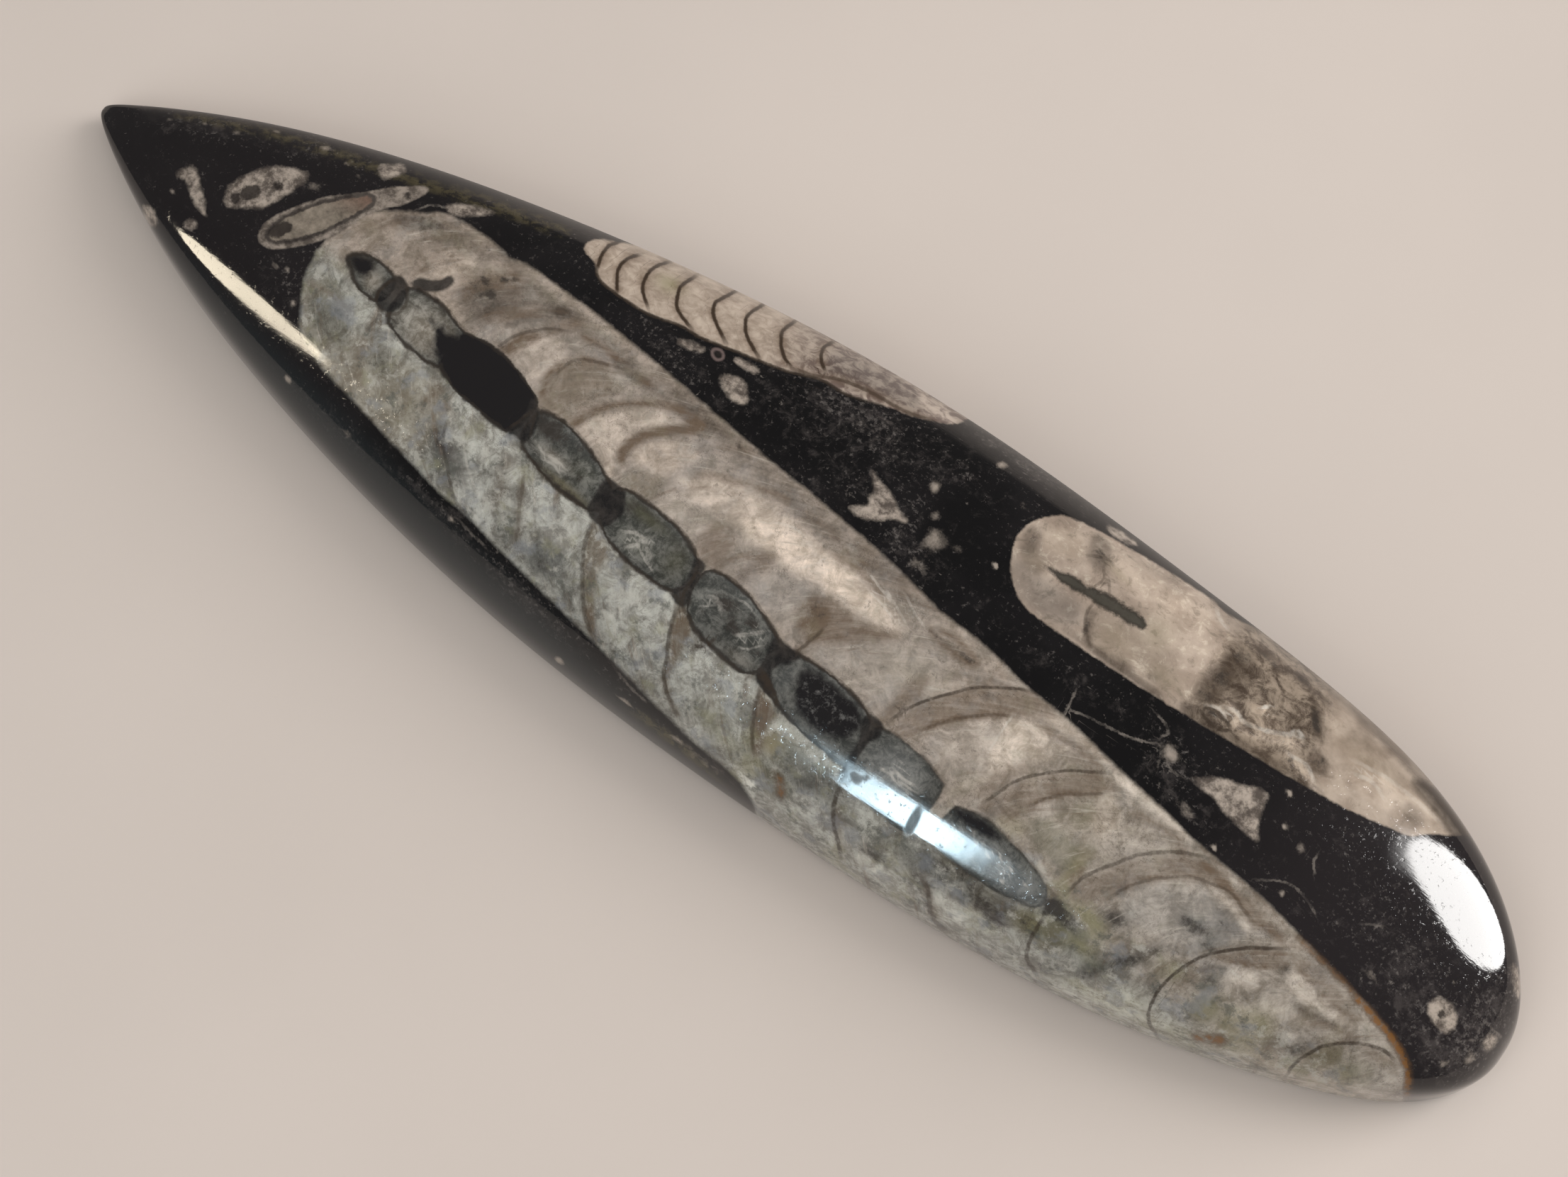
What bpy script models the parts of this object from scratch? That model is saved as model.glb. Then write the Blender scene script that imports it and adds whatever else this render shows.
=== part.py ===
"""Polished orthoceras fossil: one piece of black limestone, ground to a long leaf shape.

The stone lies on its sawn, flat base. It has a sharp tip at -X, a rounded end at +X, and a
domed top that rolls over into steep sides. The fossil shells in it are flush with the polish,
so they are colour only and the whole stone is one solid.

Frame: +X from the tip to the rounded end, +Z up, origin under the middle of the box, on the base.
"""

import math

import bmesh
import bpy
import numpy as np

MM = 0.001

# Driving dimensions
LENGTH = 180 * MM  # tip to rounded end
WIDEST_HEIGHT = 2.2 * MM  # how far above the base the stone is at its widest
EDGE_UNDERCUT = 1.2 * MM  # how far the rounded lower edge runs in under the widest line
# A cross-section is a superellipse with one power across and one up: 2 and 2 are an ellipse,
# a higher power across gives a flatter crown, and a higher power up gives steeper sides
MIDDLE_POWERS = (2.6, 2.6)
TIP_POWERS = (4.5, 6.0)
ROUNDED_END_POWERS = (2.6, 5.5)
POWER_ONSET = 4  # how late towards the ends the powers change

# The stone's form at hand-measured places along it, in millimetres:
# x, y of the -Y edge, y of the +Y edge, height of the crown
FORM = (
    (-90.0, -0.4, -0.4, 2.2),
    (-87.0, -3.2, 1.5, 4.3),
    (-84.0, -5.0, 2.8, 5.9),
    (-76.0, -9.0, 6.2, 8.8),
    (-64.0, -13.5, 10.9, 11.6),
    (-48.0, -17.7, 15.6, 14.0),
    (-30.0, -21.0, 19.5, 16.0),
    (-10.0, -23.0, 22.4, 17.5),
    (12.0, -23.5, 23.5, 18.1),
    (34.0, -22.8, 22.6, 17.8),
    (54.0, -20.4, 21.0, 16.7),
    (68.0, -17.0, 18.5, 15.1),
    (78.0, -13.5, 14.2, 13.2),
    (85.0, -9.5, 8.7, 10.7),
    (88.5, -5.7, 4.3, 8.1),
    (90.0, -0.4, -0.4, 2.2),
)
WAVES = 8  # sine terms in the smooth curve through each column of FORM

# Mesh density
RINGS = 62  # cross-sections between the two ends
TOP_POINTS = 37  # points of a cross-section from edge to edge over the crown
EDGE_POINTS = 4  # steps of each rounded lower edge
BASE_POINTS = 7  # steps across the flat base
FINE_STEPS = 1201  # steps of the curve that the evenly spaced points are read from

STONE_COLOUR = (0.020, 0.020, 0.022, 1.0)
STONE_ROUGHNESS = 0.16
SMOOTH_ANGLE = math.radians(40)


def smooth_column(column):
    """A function of the turn along the stone, 0 at the tip to pi at the rounded end.

    It is the column's end value plus a short sine series, so it is smooth all along and comes
    to that value at both ends with an upright tangent, as a rounded end does.
    """
    table = np.array(FORM) * MM
    turns = np.arccos(-table[:, 0] / (LENGTH / 2))
    end_value = table[0, column]
    waves = np.arange(1, WAVES + 1)
    terms = np.sin(np.outer(turns, waves))
    weights = np.linalg.lstsq(terms, table[:, column] - end_value, rcond=None)[0]
    return lambda turn: end_value + float(np.sin(turn * waves) @ weights)


def section_powers(x):
    """The powers of the cross-section at x, across and up."""
    ends = TIP_POWERS if x < 0 else ROUNDED_END_POWERS
    share = abs(x / (LENGTH / 2)) ** POWER_ONSET
    return [middle + (end - middle) * share for middle, end in zip(MIDDLE_POWERS, ends)]


def crown_curve(half_width, rise, power_across, power_up):
    """Evenly spaced points over the crown, from the +Y edge to the -Y edge."""
    angle = np.linspace(0, math.pi, FINE_STEPS)
    angle -= np.sin(4 * angle) / 4  # closer steps where the curve moves fastest
    across = np.cos(angle)
    y = half_width * np.sign(across) * np.abs(across) ** (2 / power_across)
    z = rise * np.abs(np.sin(angle)) ** (2 / power_up)
    run = np.concatenate([[0.0], np.cumsum(np.hypot(np.diff(y), np.diff(z)))])
    even = np.linspace(0, run[-1], TOP_POINTS)
    return zip(np.interp(even, run, y), np.interp(even, run, z))


def ring_points(turn, near_edge, far_edge, crown):
    """One closed cross-section, from the +Y edge over the crown, down, and back along the base."""
    x = -LENGTH / 2 * math.cos(turn)
    middle = (far_edge(turn) + near_edge(turn)) / 2
    half_width = (far_edge(turn) - near_edge(turn)) / 2
    rise = crown(turn) - WIDEST_HEIGHT
    undercut = min(EDGE_UNDERCUT, 0.5 * half_width)
    drop = WIDEST_HEIGHT * math.sqrt(min(1.0, half_width / (3 * EDGE_UNDERCUT)))

    curve = crown_curve(half_width, rise, *section_powers(x))
    points = [(x, middle + y, WIDEST_HEIGHT + z) for y, z in curve]
    lower_edge = []
    for step in range(1, EDGE_POINTS + 1):
        angle = math.pi / 2 * step / EDGE_POINTS
        inset = undercut * (1 - math.cos(angle))
        lower_edge.append((half_width - inset, WIDEST_HEIGHT - drop * math.sin(angle)))
    points += [(x, middle - reach, z) for reach, z in lower_edge]
    base_reach, base_height = lower_edge[-1]
    for step in range(1, BASE_POINTS):
        share = 1 - 2 * step / BASE_POINTS
        points.append((x, middle - base_reach * share, base_height))
    points += [(x, middle + reach, z) for reach, z in reversed(lower_edge)]
    return points


def build_stone(collection):
    """The whole stone: cross-sections lofted from the tip to the rounded end."""
    near_edge, far_edge, crown = (smooth_column(column) for column in (1, 2, 3))
    mesh = bmesh.new()
    rings = []
    for number in range(1, RINGS + 1):
        turn = math.pi * number / (RINGS + 1)
        points = ring_points(turn, near_edge, far_edge, crown)
        rings.append([mesh.verts.new(point) for point in points])
    for ring, following in zip(rings, rings[1:]):
        for corner in range(len(ring)):
            after = (corner + 1) % len(ring)
            mesh.faces.new((ring[corner], ring[after], following[after], following[corner]))
    for x, ring in ((-LENGTH / 2, rings[0]), (LENGTH / 2, rings[-1])):
        end = mesh.verts.new((x, near_edge(0.0), WIDEST_HEIGHT))
        for corner in range(len(ring)):
            mesh.faces.new((ring[corner], ring[(corner + 1) % len(ring)], end))
    bmesh.ops.recalc_face_normals(mesh, faces=mesh.faces)

    data = bpy.data.meshes.new("orthoceras_stone")
    mesh.to_mesh(data)
    mesh.free()
    data.shade_smooth()
    data.set_sharp_from_angle(angle=SMOOTH_ANGLE)
    stone = bpy.data.objects.new("orthoceras_stone", data)
    collection.objects.link(stone)
    return stone


def black_limestone():
    material = bpy.data.materials.new("polished_black_limestone")
    material.use_nodes = True
    shader = material.node_tree.nodes["Principled BSDF"]
    shader.inputs["Base Color"].default_value = STONE_COLOUR
    shader.inputs["Roughness"].default_value = STONE_ROUGHNESS
    shader.inputs["Metallic"].default_value = 0.0
    return material


def main():
    for old in list(bpy.data.objects):
        bpy.data.objects.remove(old)
    collection = bpy.data.collections.new("orthoceras_fossil")
    bpy.context.scene.collection.children.link(collection)
    stone = build_stone(collection)
    stone.data.materials.append(black_limestone())


main()
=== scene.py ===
"""Polished orthoceras fossil: a leaf-shaped piece of black limestone with the shells of three
orthocones and many small scraps cut open in its polish.

The stone is one smooth solid. The fossils are flush with the polish, so they are drawn on it:
each outline and line is laid out on a flat drawing, and every point of the stone's mesh keeps its
distance to them. The material turns those distances into calcite, dark rims, bands and stains.
"""

import math

import bpy
import numpy as np
from bpy.props import FloatProperty, FloatVectorProperty, PointerProperty
from mathutils import Matrix, Vector


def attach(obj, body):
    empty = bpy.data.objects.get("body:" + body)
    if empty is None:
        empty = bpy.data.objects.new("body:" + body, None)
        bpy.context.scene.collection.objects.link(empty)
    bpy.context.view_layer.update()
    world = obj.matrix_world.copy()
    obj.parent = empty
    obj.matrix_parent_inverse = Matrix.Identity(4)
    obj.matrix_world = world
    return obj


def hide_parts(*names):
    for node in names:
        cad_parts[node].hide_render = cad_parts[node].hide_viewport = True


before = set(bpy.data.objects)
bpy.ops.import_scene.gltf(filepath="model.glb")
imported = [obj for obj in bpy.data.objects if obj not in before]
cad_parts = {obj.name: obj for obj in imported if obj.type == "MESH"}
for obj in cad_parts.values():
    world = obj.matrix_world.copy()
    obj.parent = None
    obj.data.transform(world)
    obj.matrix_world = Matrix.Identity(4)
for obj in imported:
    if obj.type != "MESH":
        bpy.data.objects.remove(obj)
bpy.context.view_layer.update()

bl_info = {
    "name": "Polished Orthoceras Fossil",
    "version": (1, 0, 0),
    "blender": (4, 5, 0),
    "location": "View3D > Sidebar > Fossil",
    "description": "Builds a polished black limestone with orthocone shells cut open in it",
    "category": "Add Mesh",
}

MM = 0.001

# ---------------------------------------------------------------- the stone's form, millimetres
LENGTH = 180.0
WIDEST_HEIGHT = 2.2  # how far above the base the stone is at its widest
EDGE_UNDERCUT = 1.2  # how far the rounded lower edge runs in under the widest line
MIDDLE_POWERS = (2.6, 2.6)  # superellipse powers of a cross-section, across and up
TIP_POWERS = (4.5, 6.0)
ROUNDED_END_POWERS = (2.6, 5.5)
POWER_ONSET = 4
WAVES = 8  # sine terms in the smooth curve through each column of FORM
# x, y of the -Y edge, y of the +Y edge, height of the crown
FORM = (
    (-90.0, -0.4, -0.4, 2.2),
    (-87.0, -3.2, 1.5, 4.3),
    (-84.0, -5.0, 2.8, 5.9),
    (-76.0, -9.0, 6.2, 8.8),
    (-64.0, -13.5, 10.9, 11.6),
    (-48.0, -17.7, 15.6, 14.0),
    (-30.0, -21.0, 19.5, 16.0),
    (-10.0, -23.0, 22.4, 17.5),
    (12.0, -23.5, 23.5, 18.1),
    (34.0, -22.8, 22.6, 17.8),
    (54.0, -20.4, 21.0, 16.7),
    (68.0, -17.0, 18.5, 15.1),
    (78.0, -13.5, 14.2, 13.2),
    (85.0, -9.5, 8.7, 10.7),
    (88.5, -5.7, 4.3, 8.1),
    (90.0, -0.4, -0.4, 2.2),
)

# Mesh density
RINGS = 520
TOP_POINTS = 164
EDGE_POINTS = 4
BASE_POINTS = 6
END_SPACING = 0.175  # opens the rings out towards the two ends
FINE_STEPS = 1201

# ---------------------------------------------------------------- the camera and the drawing
CAMERA_AZIMUTH = math.radians(35.23)
CAMERA_ELEVATION = math.radians(74.0)
CAMERA_TARGET = (2.45, -1.55, 0.0)  # millimetres
CAMERA_DISTANCE = 322.67  # millimetres
LENS = 70.0
SENSOR = 36.0
VIEW_WIDTH = 2212  # drawing units, like the height
VIEW_HEIGHT = 1660
# The drawing's u runs from the tip to the rounded end and its v from the +Y to the -Y side
DRAWING_ORIGIN = (143.8, 149.3)
DRAWING_TURN = math.radians(33.984)
DRAWING_SCALE = 13.25  # drawing units in a millimetre


# ================================================================ mesh
def smooth_column(column, turns):
    """A column of FORM as a smooth curve, read at these turns, 0 at the tip to pi at the end."""
    table = np.array(FORM)
    rows = np.arccos(-table[:, 0] / (LENGTH / 2))
    end_value = table[0, column]
    waves = np.arange(1, WAVES + 1)
    weights = np.linalg.lstsq(
        np.sin(np.outer(rows, waves)), table[:, column] - end_value, rcond=None
    )[0]
    return end_value + np.sin(np.outer(turns, waves)) @ weights


def crown_curve(half_width, rise, power_across, power_up):
    """Evenly spaced points over the crown, from the +Y edge to the -Y edge."""
    angle = np.linspace(0, math.pi, FINE_STEPS)
    angle = angle - np.sin(4 * angle) / 4
    across = np.cos(angle)
    y = half_width * np.sign(across) * np.abs(across) ** (2 / power_across)
    z = rise * np.abs(np.sin(angle)) ** (2 / power_up)
    run = np.concatenate([[0.0], np.cumsum(np.hypot(np.diff(y), np.diff(z)))])
    even = np.linspace(0, run[-1], TOP_POINTS)
    return np.interp(even, run, y), np.interp(even, run, z)


def stone_rings():
    """All cross-sections, millimetres: [ring, point, xyz]. A ring starts at the foot of the +Y
    side, runs up, over the crown and down to the foot of the -Y side, then back along the base."""
    share = np.linspace(0, 1, RINGS + 2)[1:-1]
    turns = math.pi * share + END_SPACING * np.sin(2 * math.pi * share)
    near, far, crown = (smooth_column(column, turns) for column in (1, 2, 3))
    quarter = np.linspace(0, math.pi / 2, EDGE_POINTS + 1)[1:]
    rings = []
    for x, y_near, y_far, top in zip(-LENGTH / 2 * np.cos(turns), near, far, crown):
        middle, half_width = (y_far + y_near) / 2, (y_far - y_near) / 2
        undercut = min(EDGE_UNDERCUT, 0.5 * half_width)
        drop = WIDEST_HEIGHT * math.sqrt(min(1.0, half_width / (3 * EDGE_UNDERCUT)))
        ends = TIP_POWERS if x < 0 else ROUNDED_END_POWERS
        late = abs(x / (LENGTH / 2)) ** POWER_ONSET
        powers = [m + (e - m) * late for m, e in zip(MIDDLE_POWERS, ends)]
        y, z = crown_curve(half_width, top - WIDEST_HEIGHT, *powers)
        reach = half_width - undercut * (1 - np.cos(quarter))
        foot = WIDEST_HEIGHT - drop * np.sin(quarter)
        base_y = np.linspace(-reach[-1], reach[-1], BASE_POINTS + 1)[1:-1]
        y = np.concatenate([reach[::-1], y, -reach, base_y])
        z = np.concatenate(
            [foot[::-1], WIDEST_HEIGHT + z, foot, np.full(len(base_y), foot[-1])]
        )
        rings.append(np.stack([np.full(len(y), x), middle + y, z], 1))
    return np.array(rings)


def camera_axes():
    """The camera's directions: backwards, to its right and up."""
    side, lift = math.sin(CAMERA_AZIMUTH), math.sin(CAMERA_ELEVATION)
    ahead, low = math.cos(CAMERA_AZIMUTH), math.cos(CAMERA_ELEVATION)
    back = np.array([side * low, -ahead * low, lift])
    right = np.array([ahead, side, 0.0])
    return back, right, np.cross(back, right)


def drawing_places(points):
    """Where points, in millimetres, lie on the flat drawing."""
    back, right, up = camera_axes()
    arm = points - (np.array(CAMERA_TARGET) + back * CAMERA_DISTANCE)
    depth = -(arm @ back)
    reach = LENS / SENSOR * VIEW_WIDTH / depth
    x = VIEW_WIDTH / 2 + reach * (arm @ right) - DRAWING_ORIGIN[0]
    y = VIEW_HEIGHT / 2 - reach * (arm @ up) - DRAWING_ORIGIN[1]
    cos, sin = math.cos(DRAWING_TURN), math.sin(DRAWING_TURN)
    return x * cos + y * sin, y * cos - x * sin


def lay_out(rings):
    """u and v of every ring point. Past the outline, where the stone turns away under the
    drawing, v goes on by the length of the surface, so that the pattern runs on over the side."""
    wall = TOP_POINTS + 2 * EDGE_POINTS
    u, v = drawing_places(rings)
    for ring in range(len(rings)):
        line = rings[ring, :wall]
        run = np.concatenate([[0], np.cumsum(np.linalg.norm(np.diff(line, axis=0), axis=1))])
        run *= DRAWING_SCALE
        far, near = int(np.argmin(v[ring, :wall])), int(np.argmax(v[ring, :wall]))
        v[ring, :far] = v[ring, far] - (run[far] - run[:far])
        u[ring, :far] = u[ring, far]
        v[ring, near:wall] = v[ring, near] + (run[near:] - run[near])
        u[ring, near:wall] = u[ring, near]
        v[ring, wall:] = v[ring, wall - 1]
        u[ring, wall:] = u[ring, wall - 1]
    return u, v


# ================================================================ drawing
def closed(points, steps=4):
    """A smooth closed line through the points."""
    p = np.array(points, float)
    return spline(np.concatenate([p[-1:], p, p[:2]]), steps)


def opened(points, steps=4):
    """A smooth open line through the points."""
    p = np.array(points, float)
    return spline(np.concatenate([2 * p[:1] - p[1:2], p, 2 * p[-1:] - p[-2:-1]]), steps)


def smooth_step(x):
    """0 up to 0, 1 from 1 on, and a smooth rise between."""
    x = np.clip(x, 0, 1)
    return x * x * (3 - 2 * x)


def spline(p, steps):
    """A smooth line through p, without its first and last point."""
    t = np.linspace(0, 1, steps, endpoint=False)[:, None]
    out = []
    for a, b, c, d in zip(p, p[1:], p[2:], p[3:]):
        out.append(
            b
            + 0.5 * t * (c - a + t * (2 * a - 5 * b + 4 * c - d + t * (3 * (b - c) + d - a)))
        )
    out.append(p[-2:-1])
    return np.concatenate(out)


class Sheet:
    """The flat drawing: the place of every mesh point on it, and measures to what is drawn."""

    def __init__(self, u, v):
        self.u, self.v = u, v

    def near(self, line, reach):
        return np.nonzero(
            (self.u > line[:, 0].min() - reach)
            & (self.u < line[:, 0].max() + reach)
            & (self.v > line[:, 1].min() - reach)
            & (self.v < line[:, 1].max() + reach)
        )[0]

    def line(self, line, reach):
        """Distance to a line, its sign by the side of the line, and the share along the line,
        for the points within reach."""
        found = self.near(line, reach)
        u, v = self.u[found], self.v[found]
        best = np.full(len(found), reach, float)
        side = np.ones(len(found))
        along = np.zeros(len(found))
        count = len(line) - 1
        for number in range(count):
            (u0, v0), (u1, v1) = line[number], line[number + 1]
            du, dv = u1 - u0, v1 - v0
            size = max(du * du + dv * dv, 1e-9)
            t = np.clip(((u - u0) * du + (v - v0) * dv) / size, 0, 1)
            away = np.hypot(u - u0 - t * du, v - v0 - t * dv)
            closer = away < best
            best[closer] = away[closer]
            cross = (u - u0) * dv - (v - v0) * du
            side[closer] = np.where(cross[closer] < 0, -1.0, 1.0)
            along[closer] = (number + t[closer]) / count
        return found, best, side, along

    def shapes(self, outlines, reach=60.0):
        """Signed distance to the nearest of these closed outlines, less than zero inside."""
        result = np.full(len(self.u), reach, float)
        for outline in outlines:
            line = closed(outline)
            found, away, _, _ = self.line(line, reach)
            u, v = self.u[found], self.v[found]
            inside = np.zeros(len(found), bool)
            for (u0, v0), (u1, v1) in zip(line, line[1:]):
                if v0 == v1:
                    continue
                spans = (v0 > v) != (v1 > v)
                inside ^= spans & (u < (u1 - u0) * (v - v0) / (v1 - v0) + u0)
            result[found] = np.minimum(result[found], np.where(inside, -away, away))
        return result

    def lines(self, drawn, reach=14.0):
        """For thin lines, each (strength, half width, points): the signed distance to the nearest
        one in its own half widths, and its strength close by. The sign keeps a thin line sharp
        between the mesh's points."""
        best = np.full(len(self.u), reach, float)
        signed = np.full(len(self.u), 9.0)
        strength = np.zeros(len(self.u))
        for amount, half_width, points in drawn:
            found, away, side, along = self.line(opened(points), reach)
            fade = np.minimum(1.0, np.minimum(along, 1 - along) * 8 + 0.25)
            closer = away < best[found]
            chosen = found[closer]
            best[chosen] = away[closer]
            signed[chosen] = (away * side)[closer] / half_width
            close = np.clip(2 - away[closer] * 2 / reach, 0, 1)
            strength[chosen] = (amount * fade)[closer] * close
        return signed, strength

    def bands(self, drawn):
        """Soft stripes, each (strength, width, points): how much of them lies on each point."""
        total = np.zeros(len(self.u))
        for amount, width, points in drawn:
            found, away, _, along = self.line(opened(points), width * 2.6)
            fade = np.minimum(1.0, np.minimum(along, 1 - along) * 6 + 0.3)
            glow = amount * fade * np.exp(-((away / width) ** 2))
            total[found] = np.where(
                np.abs(glow) > np.abs(total[found]), glow, total[found]
            )
        return total

    def washes(self, drawn, kind):
        """Soft-edged areas, each (softness, strengths..., outline)."""
        total = np.zeros(len(self.u))
        for soft, *strengths, outline in drawn:
            if strengths[kind]:
                away = self.shapes([outline], 2 * soft)
                total += strengths[kind] * smooth_step((soft - away) / (2 * soft))
        return total

    def patches(self, drawn, kind):
        """Soft spots, each (u, v, half length, half width, tilt in degrees, strengths)."""
        total = np.zeros(len(self.u))
        for u, v, long, wide, tilt, *strengths in drawn:
            cos, sin = math.cos(math.radians(tilt)), math.sin(math.radians(tilt))
            du, dv = self.u - u, self.v - v
            a = (du * cos + dv * sin) / long
            b = (dv * cos - du * sin) / wide
            total += strengths[kind] * np.exp(-(a * a + b * b))
        return total

    def rise(self, points):
        """How far below (+) or above (-) a line across the whole drawing each point is."""
        p = np.array(points, float)
        return self.v - np.interp(self.u, p[:, 0], p[:, 1])


# ---------------------------------------------------------------- the great orthocone
GREAT_SHELL = (
    (366, 0), (368, 20), (372, 40), (380, 60), (395, 85), (405, 103), (418, 112), (435, 121),
    (470, 135), (510, 144), (550, 152), (600, 165), (650, 175), (700, 187), (750, 192),
    (800, 203), (850, 212), (900, 222), (950, 231), (1000, 240), (1050, 250), (1100, 260),
    (1150, 270), (1200, 278), (1250, 283), (1290, 292), (1330, 320), (1380, 400), (1500, 460),
    (2250, 460), (2330, 400), (2335, 260), (2325, 170), (2308, 140), (2300, 115), (2280, 92),
    (2250, 74), (2200, 57), (2150, 46), (2100, 36), (2050, 25), (2000, 14), (1950, 7), (1900, 2),
    (1850, -4), (1800, -14), (1750, -21), (1700, -29), (1650, -38), (1600, -46), (1550, -49),
    (1500, -58), (1450, -66), (1400, -69), (1370, -72), (1300, -86), (1250, -93), (1200, -99),
    (1150, -105), (1100, -109), (1050, -113), (1000, -119), (950, -125), (900, -131), (850, -137),
    (800, -141), (740, -147), (700, -148), (650, -150), (615, -149), (598, -144), (585, -147),
    (560, -150), (520, -150), (500, -148), (480, -142), (460, -128), (440, -118), (420, -105),
    (400, -90), (388, -70), (378, -45), (370, -25),
)
SIPHON_LINE = (
    (300, -12), (440, -12), (550, 0), (680, 18), (800, 45), (900, 65), (980, 78), (1100, 103),
    (1220, 125), (1330, 142), (1460, 160), (1600, 177), (1770, 190), (1950, 205), (2150, 215),
    (2400, 215),
)
BEADS = (
    ((406, -17), (420, -33), (440, -38), (470, -34), (482, -24), (486, -6), (475, 13), (455, 14),
     (440, 10), (420, -3)),
    ((500, -26), (512, -34), (530, -37), (560, -35), (590, -25), (606, -18), (604, 10), (602, 40),
     (570, 43), (530, 38), (502, 25), (495, 0)),
    ((590, -10), (600, -20), (630, -26), (650, -28), (670, -25), (700, -18), (720, -10),
     (738, -2), (746, 8), (742, 40), (732, 60), (710, 64), (680, 60), (640, 55), (620, 48),
     (600, 40), (588, 14)),
    ((752, 12), (780, 5), (810, 8), (850, 20), (880, 35), (898, 46), (904, 68), (892, 88),
     (850, 90), (810, 85), (780, 75), (757, 64), (748, 38)),
    ((905, 40), (930, 33), (970, 35), (1010, 40), (1040, 52), (1062, 68), (1066, 95), (1050, 119),
     (1010, 122), (970, 118), (930, 108), (907, 90), (898, 66)),
    ((1072, 68), (1100, 58), (1140, 62), (1180, 75), (1212, 92), (1222, 125), (1200, 158),
     (1160, 155), (1120, 150), (1087, 135), (1070, 100)),
    ((1222, 102), (1240, 93), (1290, 90), (1330, 94), (1362, 101), (1385, 114), (1394, 140),
     (1392, 186), (1340, 184), (1300, 179), (1255, 167), (1228, 156), (1214, 147), (1216, 122)),
    ((1397, 117), (1410, 111), (1440, 110), (1480, 116), (1510, 126), (1522, 133), (1524, 170),
     (1520, 214), (1460, 214), (1410, 209), (1394, 195), (1392, 150)),
    ((1550, 149), (1562, 142), (1600, 136), (1640, 143), (1680, 152), (1708, 161), (1726, 174),
     (1730, 190), (1722, 203), (1690, 210), (1650, 215), (1600, 213), (1550, 206), (1544, 180)),
)
# The black or very dark filling of some of the beads
BEAD_CORES = (
    ((412, -17), (420, -26), (434, -32), (445, -27), (446, -16), (438, -8), (426, -6)),
    ((552, -10), (562, -8), (574, -12), (586, -6), (600, -10), (606, 4), (602, 24), (596, 34),
     (584, 26), (574, 14), (566, 2)),
    ((604, -26), (630, -32), (652, -34), (674, -31), (702, -24), (724, -14), (746, 2), (746, 30),
     (742, 58), (730, 70), (706, 72), (680, 68), (640, 63), (618, 56), (600, 46), (592, 26),
     (594, 8), (588, -4), (598, -14)),
    ((890, 46), (908, 42), (925, 50), (928, 70), (918, 92), (900, 94), (886, 72)),
    ((1268, 104), (1290, 99), (1330, 102), (1360, 110), (1376, 124), (1372, 146), (1356, 162),
     (1322, 167), (1290, 158), (1272, 140), (1266, 122)),
    ((1223, 100), (1234, 95), (1246, 98), (1244, 110), (1232, 116), (1222, 110)),
    ((1382, 116), (1396, 112), (1404, 120), (1400, 134), (1388, 132)),
    ((1552, 150), (1566, 143), (1600, 139), (1634, 146), (1620, 156), (1590, 162), (1562, 161)),
)
# Dark brown necks between the beads
NECKS = (
    ((478, -34), (470, -18), (468, 0), (474, 14), (486, 20), (498, 16), (506, 4), (508, -14),
     (504, -28), (492, -36)),
    ((500, -36), (508, -50), (524, -57), (534, -65), (541, -76), (551, -74), (549, -60),
     (539, -48), (526, -38), (512, -33)),
    ((734, 2), (748, 8), (758, 24), (764, 48), (758, 62), (742, 60), (730, 62), (734, 40),
     (738, 20)),
    ((884, 38), (904, 36), (922, 44), (930, 68), (920, 96), (902, 98), (886, 90), (882, 60)),
    ((1050, 62), (1064, 60), (1072, 68), (1070, 96), (1078, 124), (1066, 130), (1050, 120),
     (1058, 92)),
    ((1206, 90), (1226, 90), (1248, 90), (1250, 102), (1236, 112), (1230, 136), (1252, 158),
     (1238, 164), (1214, 152), (1210, 118)),
    ((1378, 106), (1402, 108), (1406, 124), (1398, 150), (1402, 206), (1388, 200), (1386, 150),
     (1374, 120)),
)
LAMELLA_BOW = 0.0052  # how far the growth layers bow towards the wide end
LAMELLA_REACH = 220.0  # how far from the siphon they go on bowing
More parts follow.
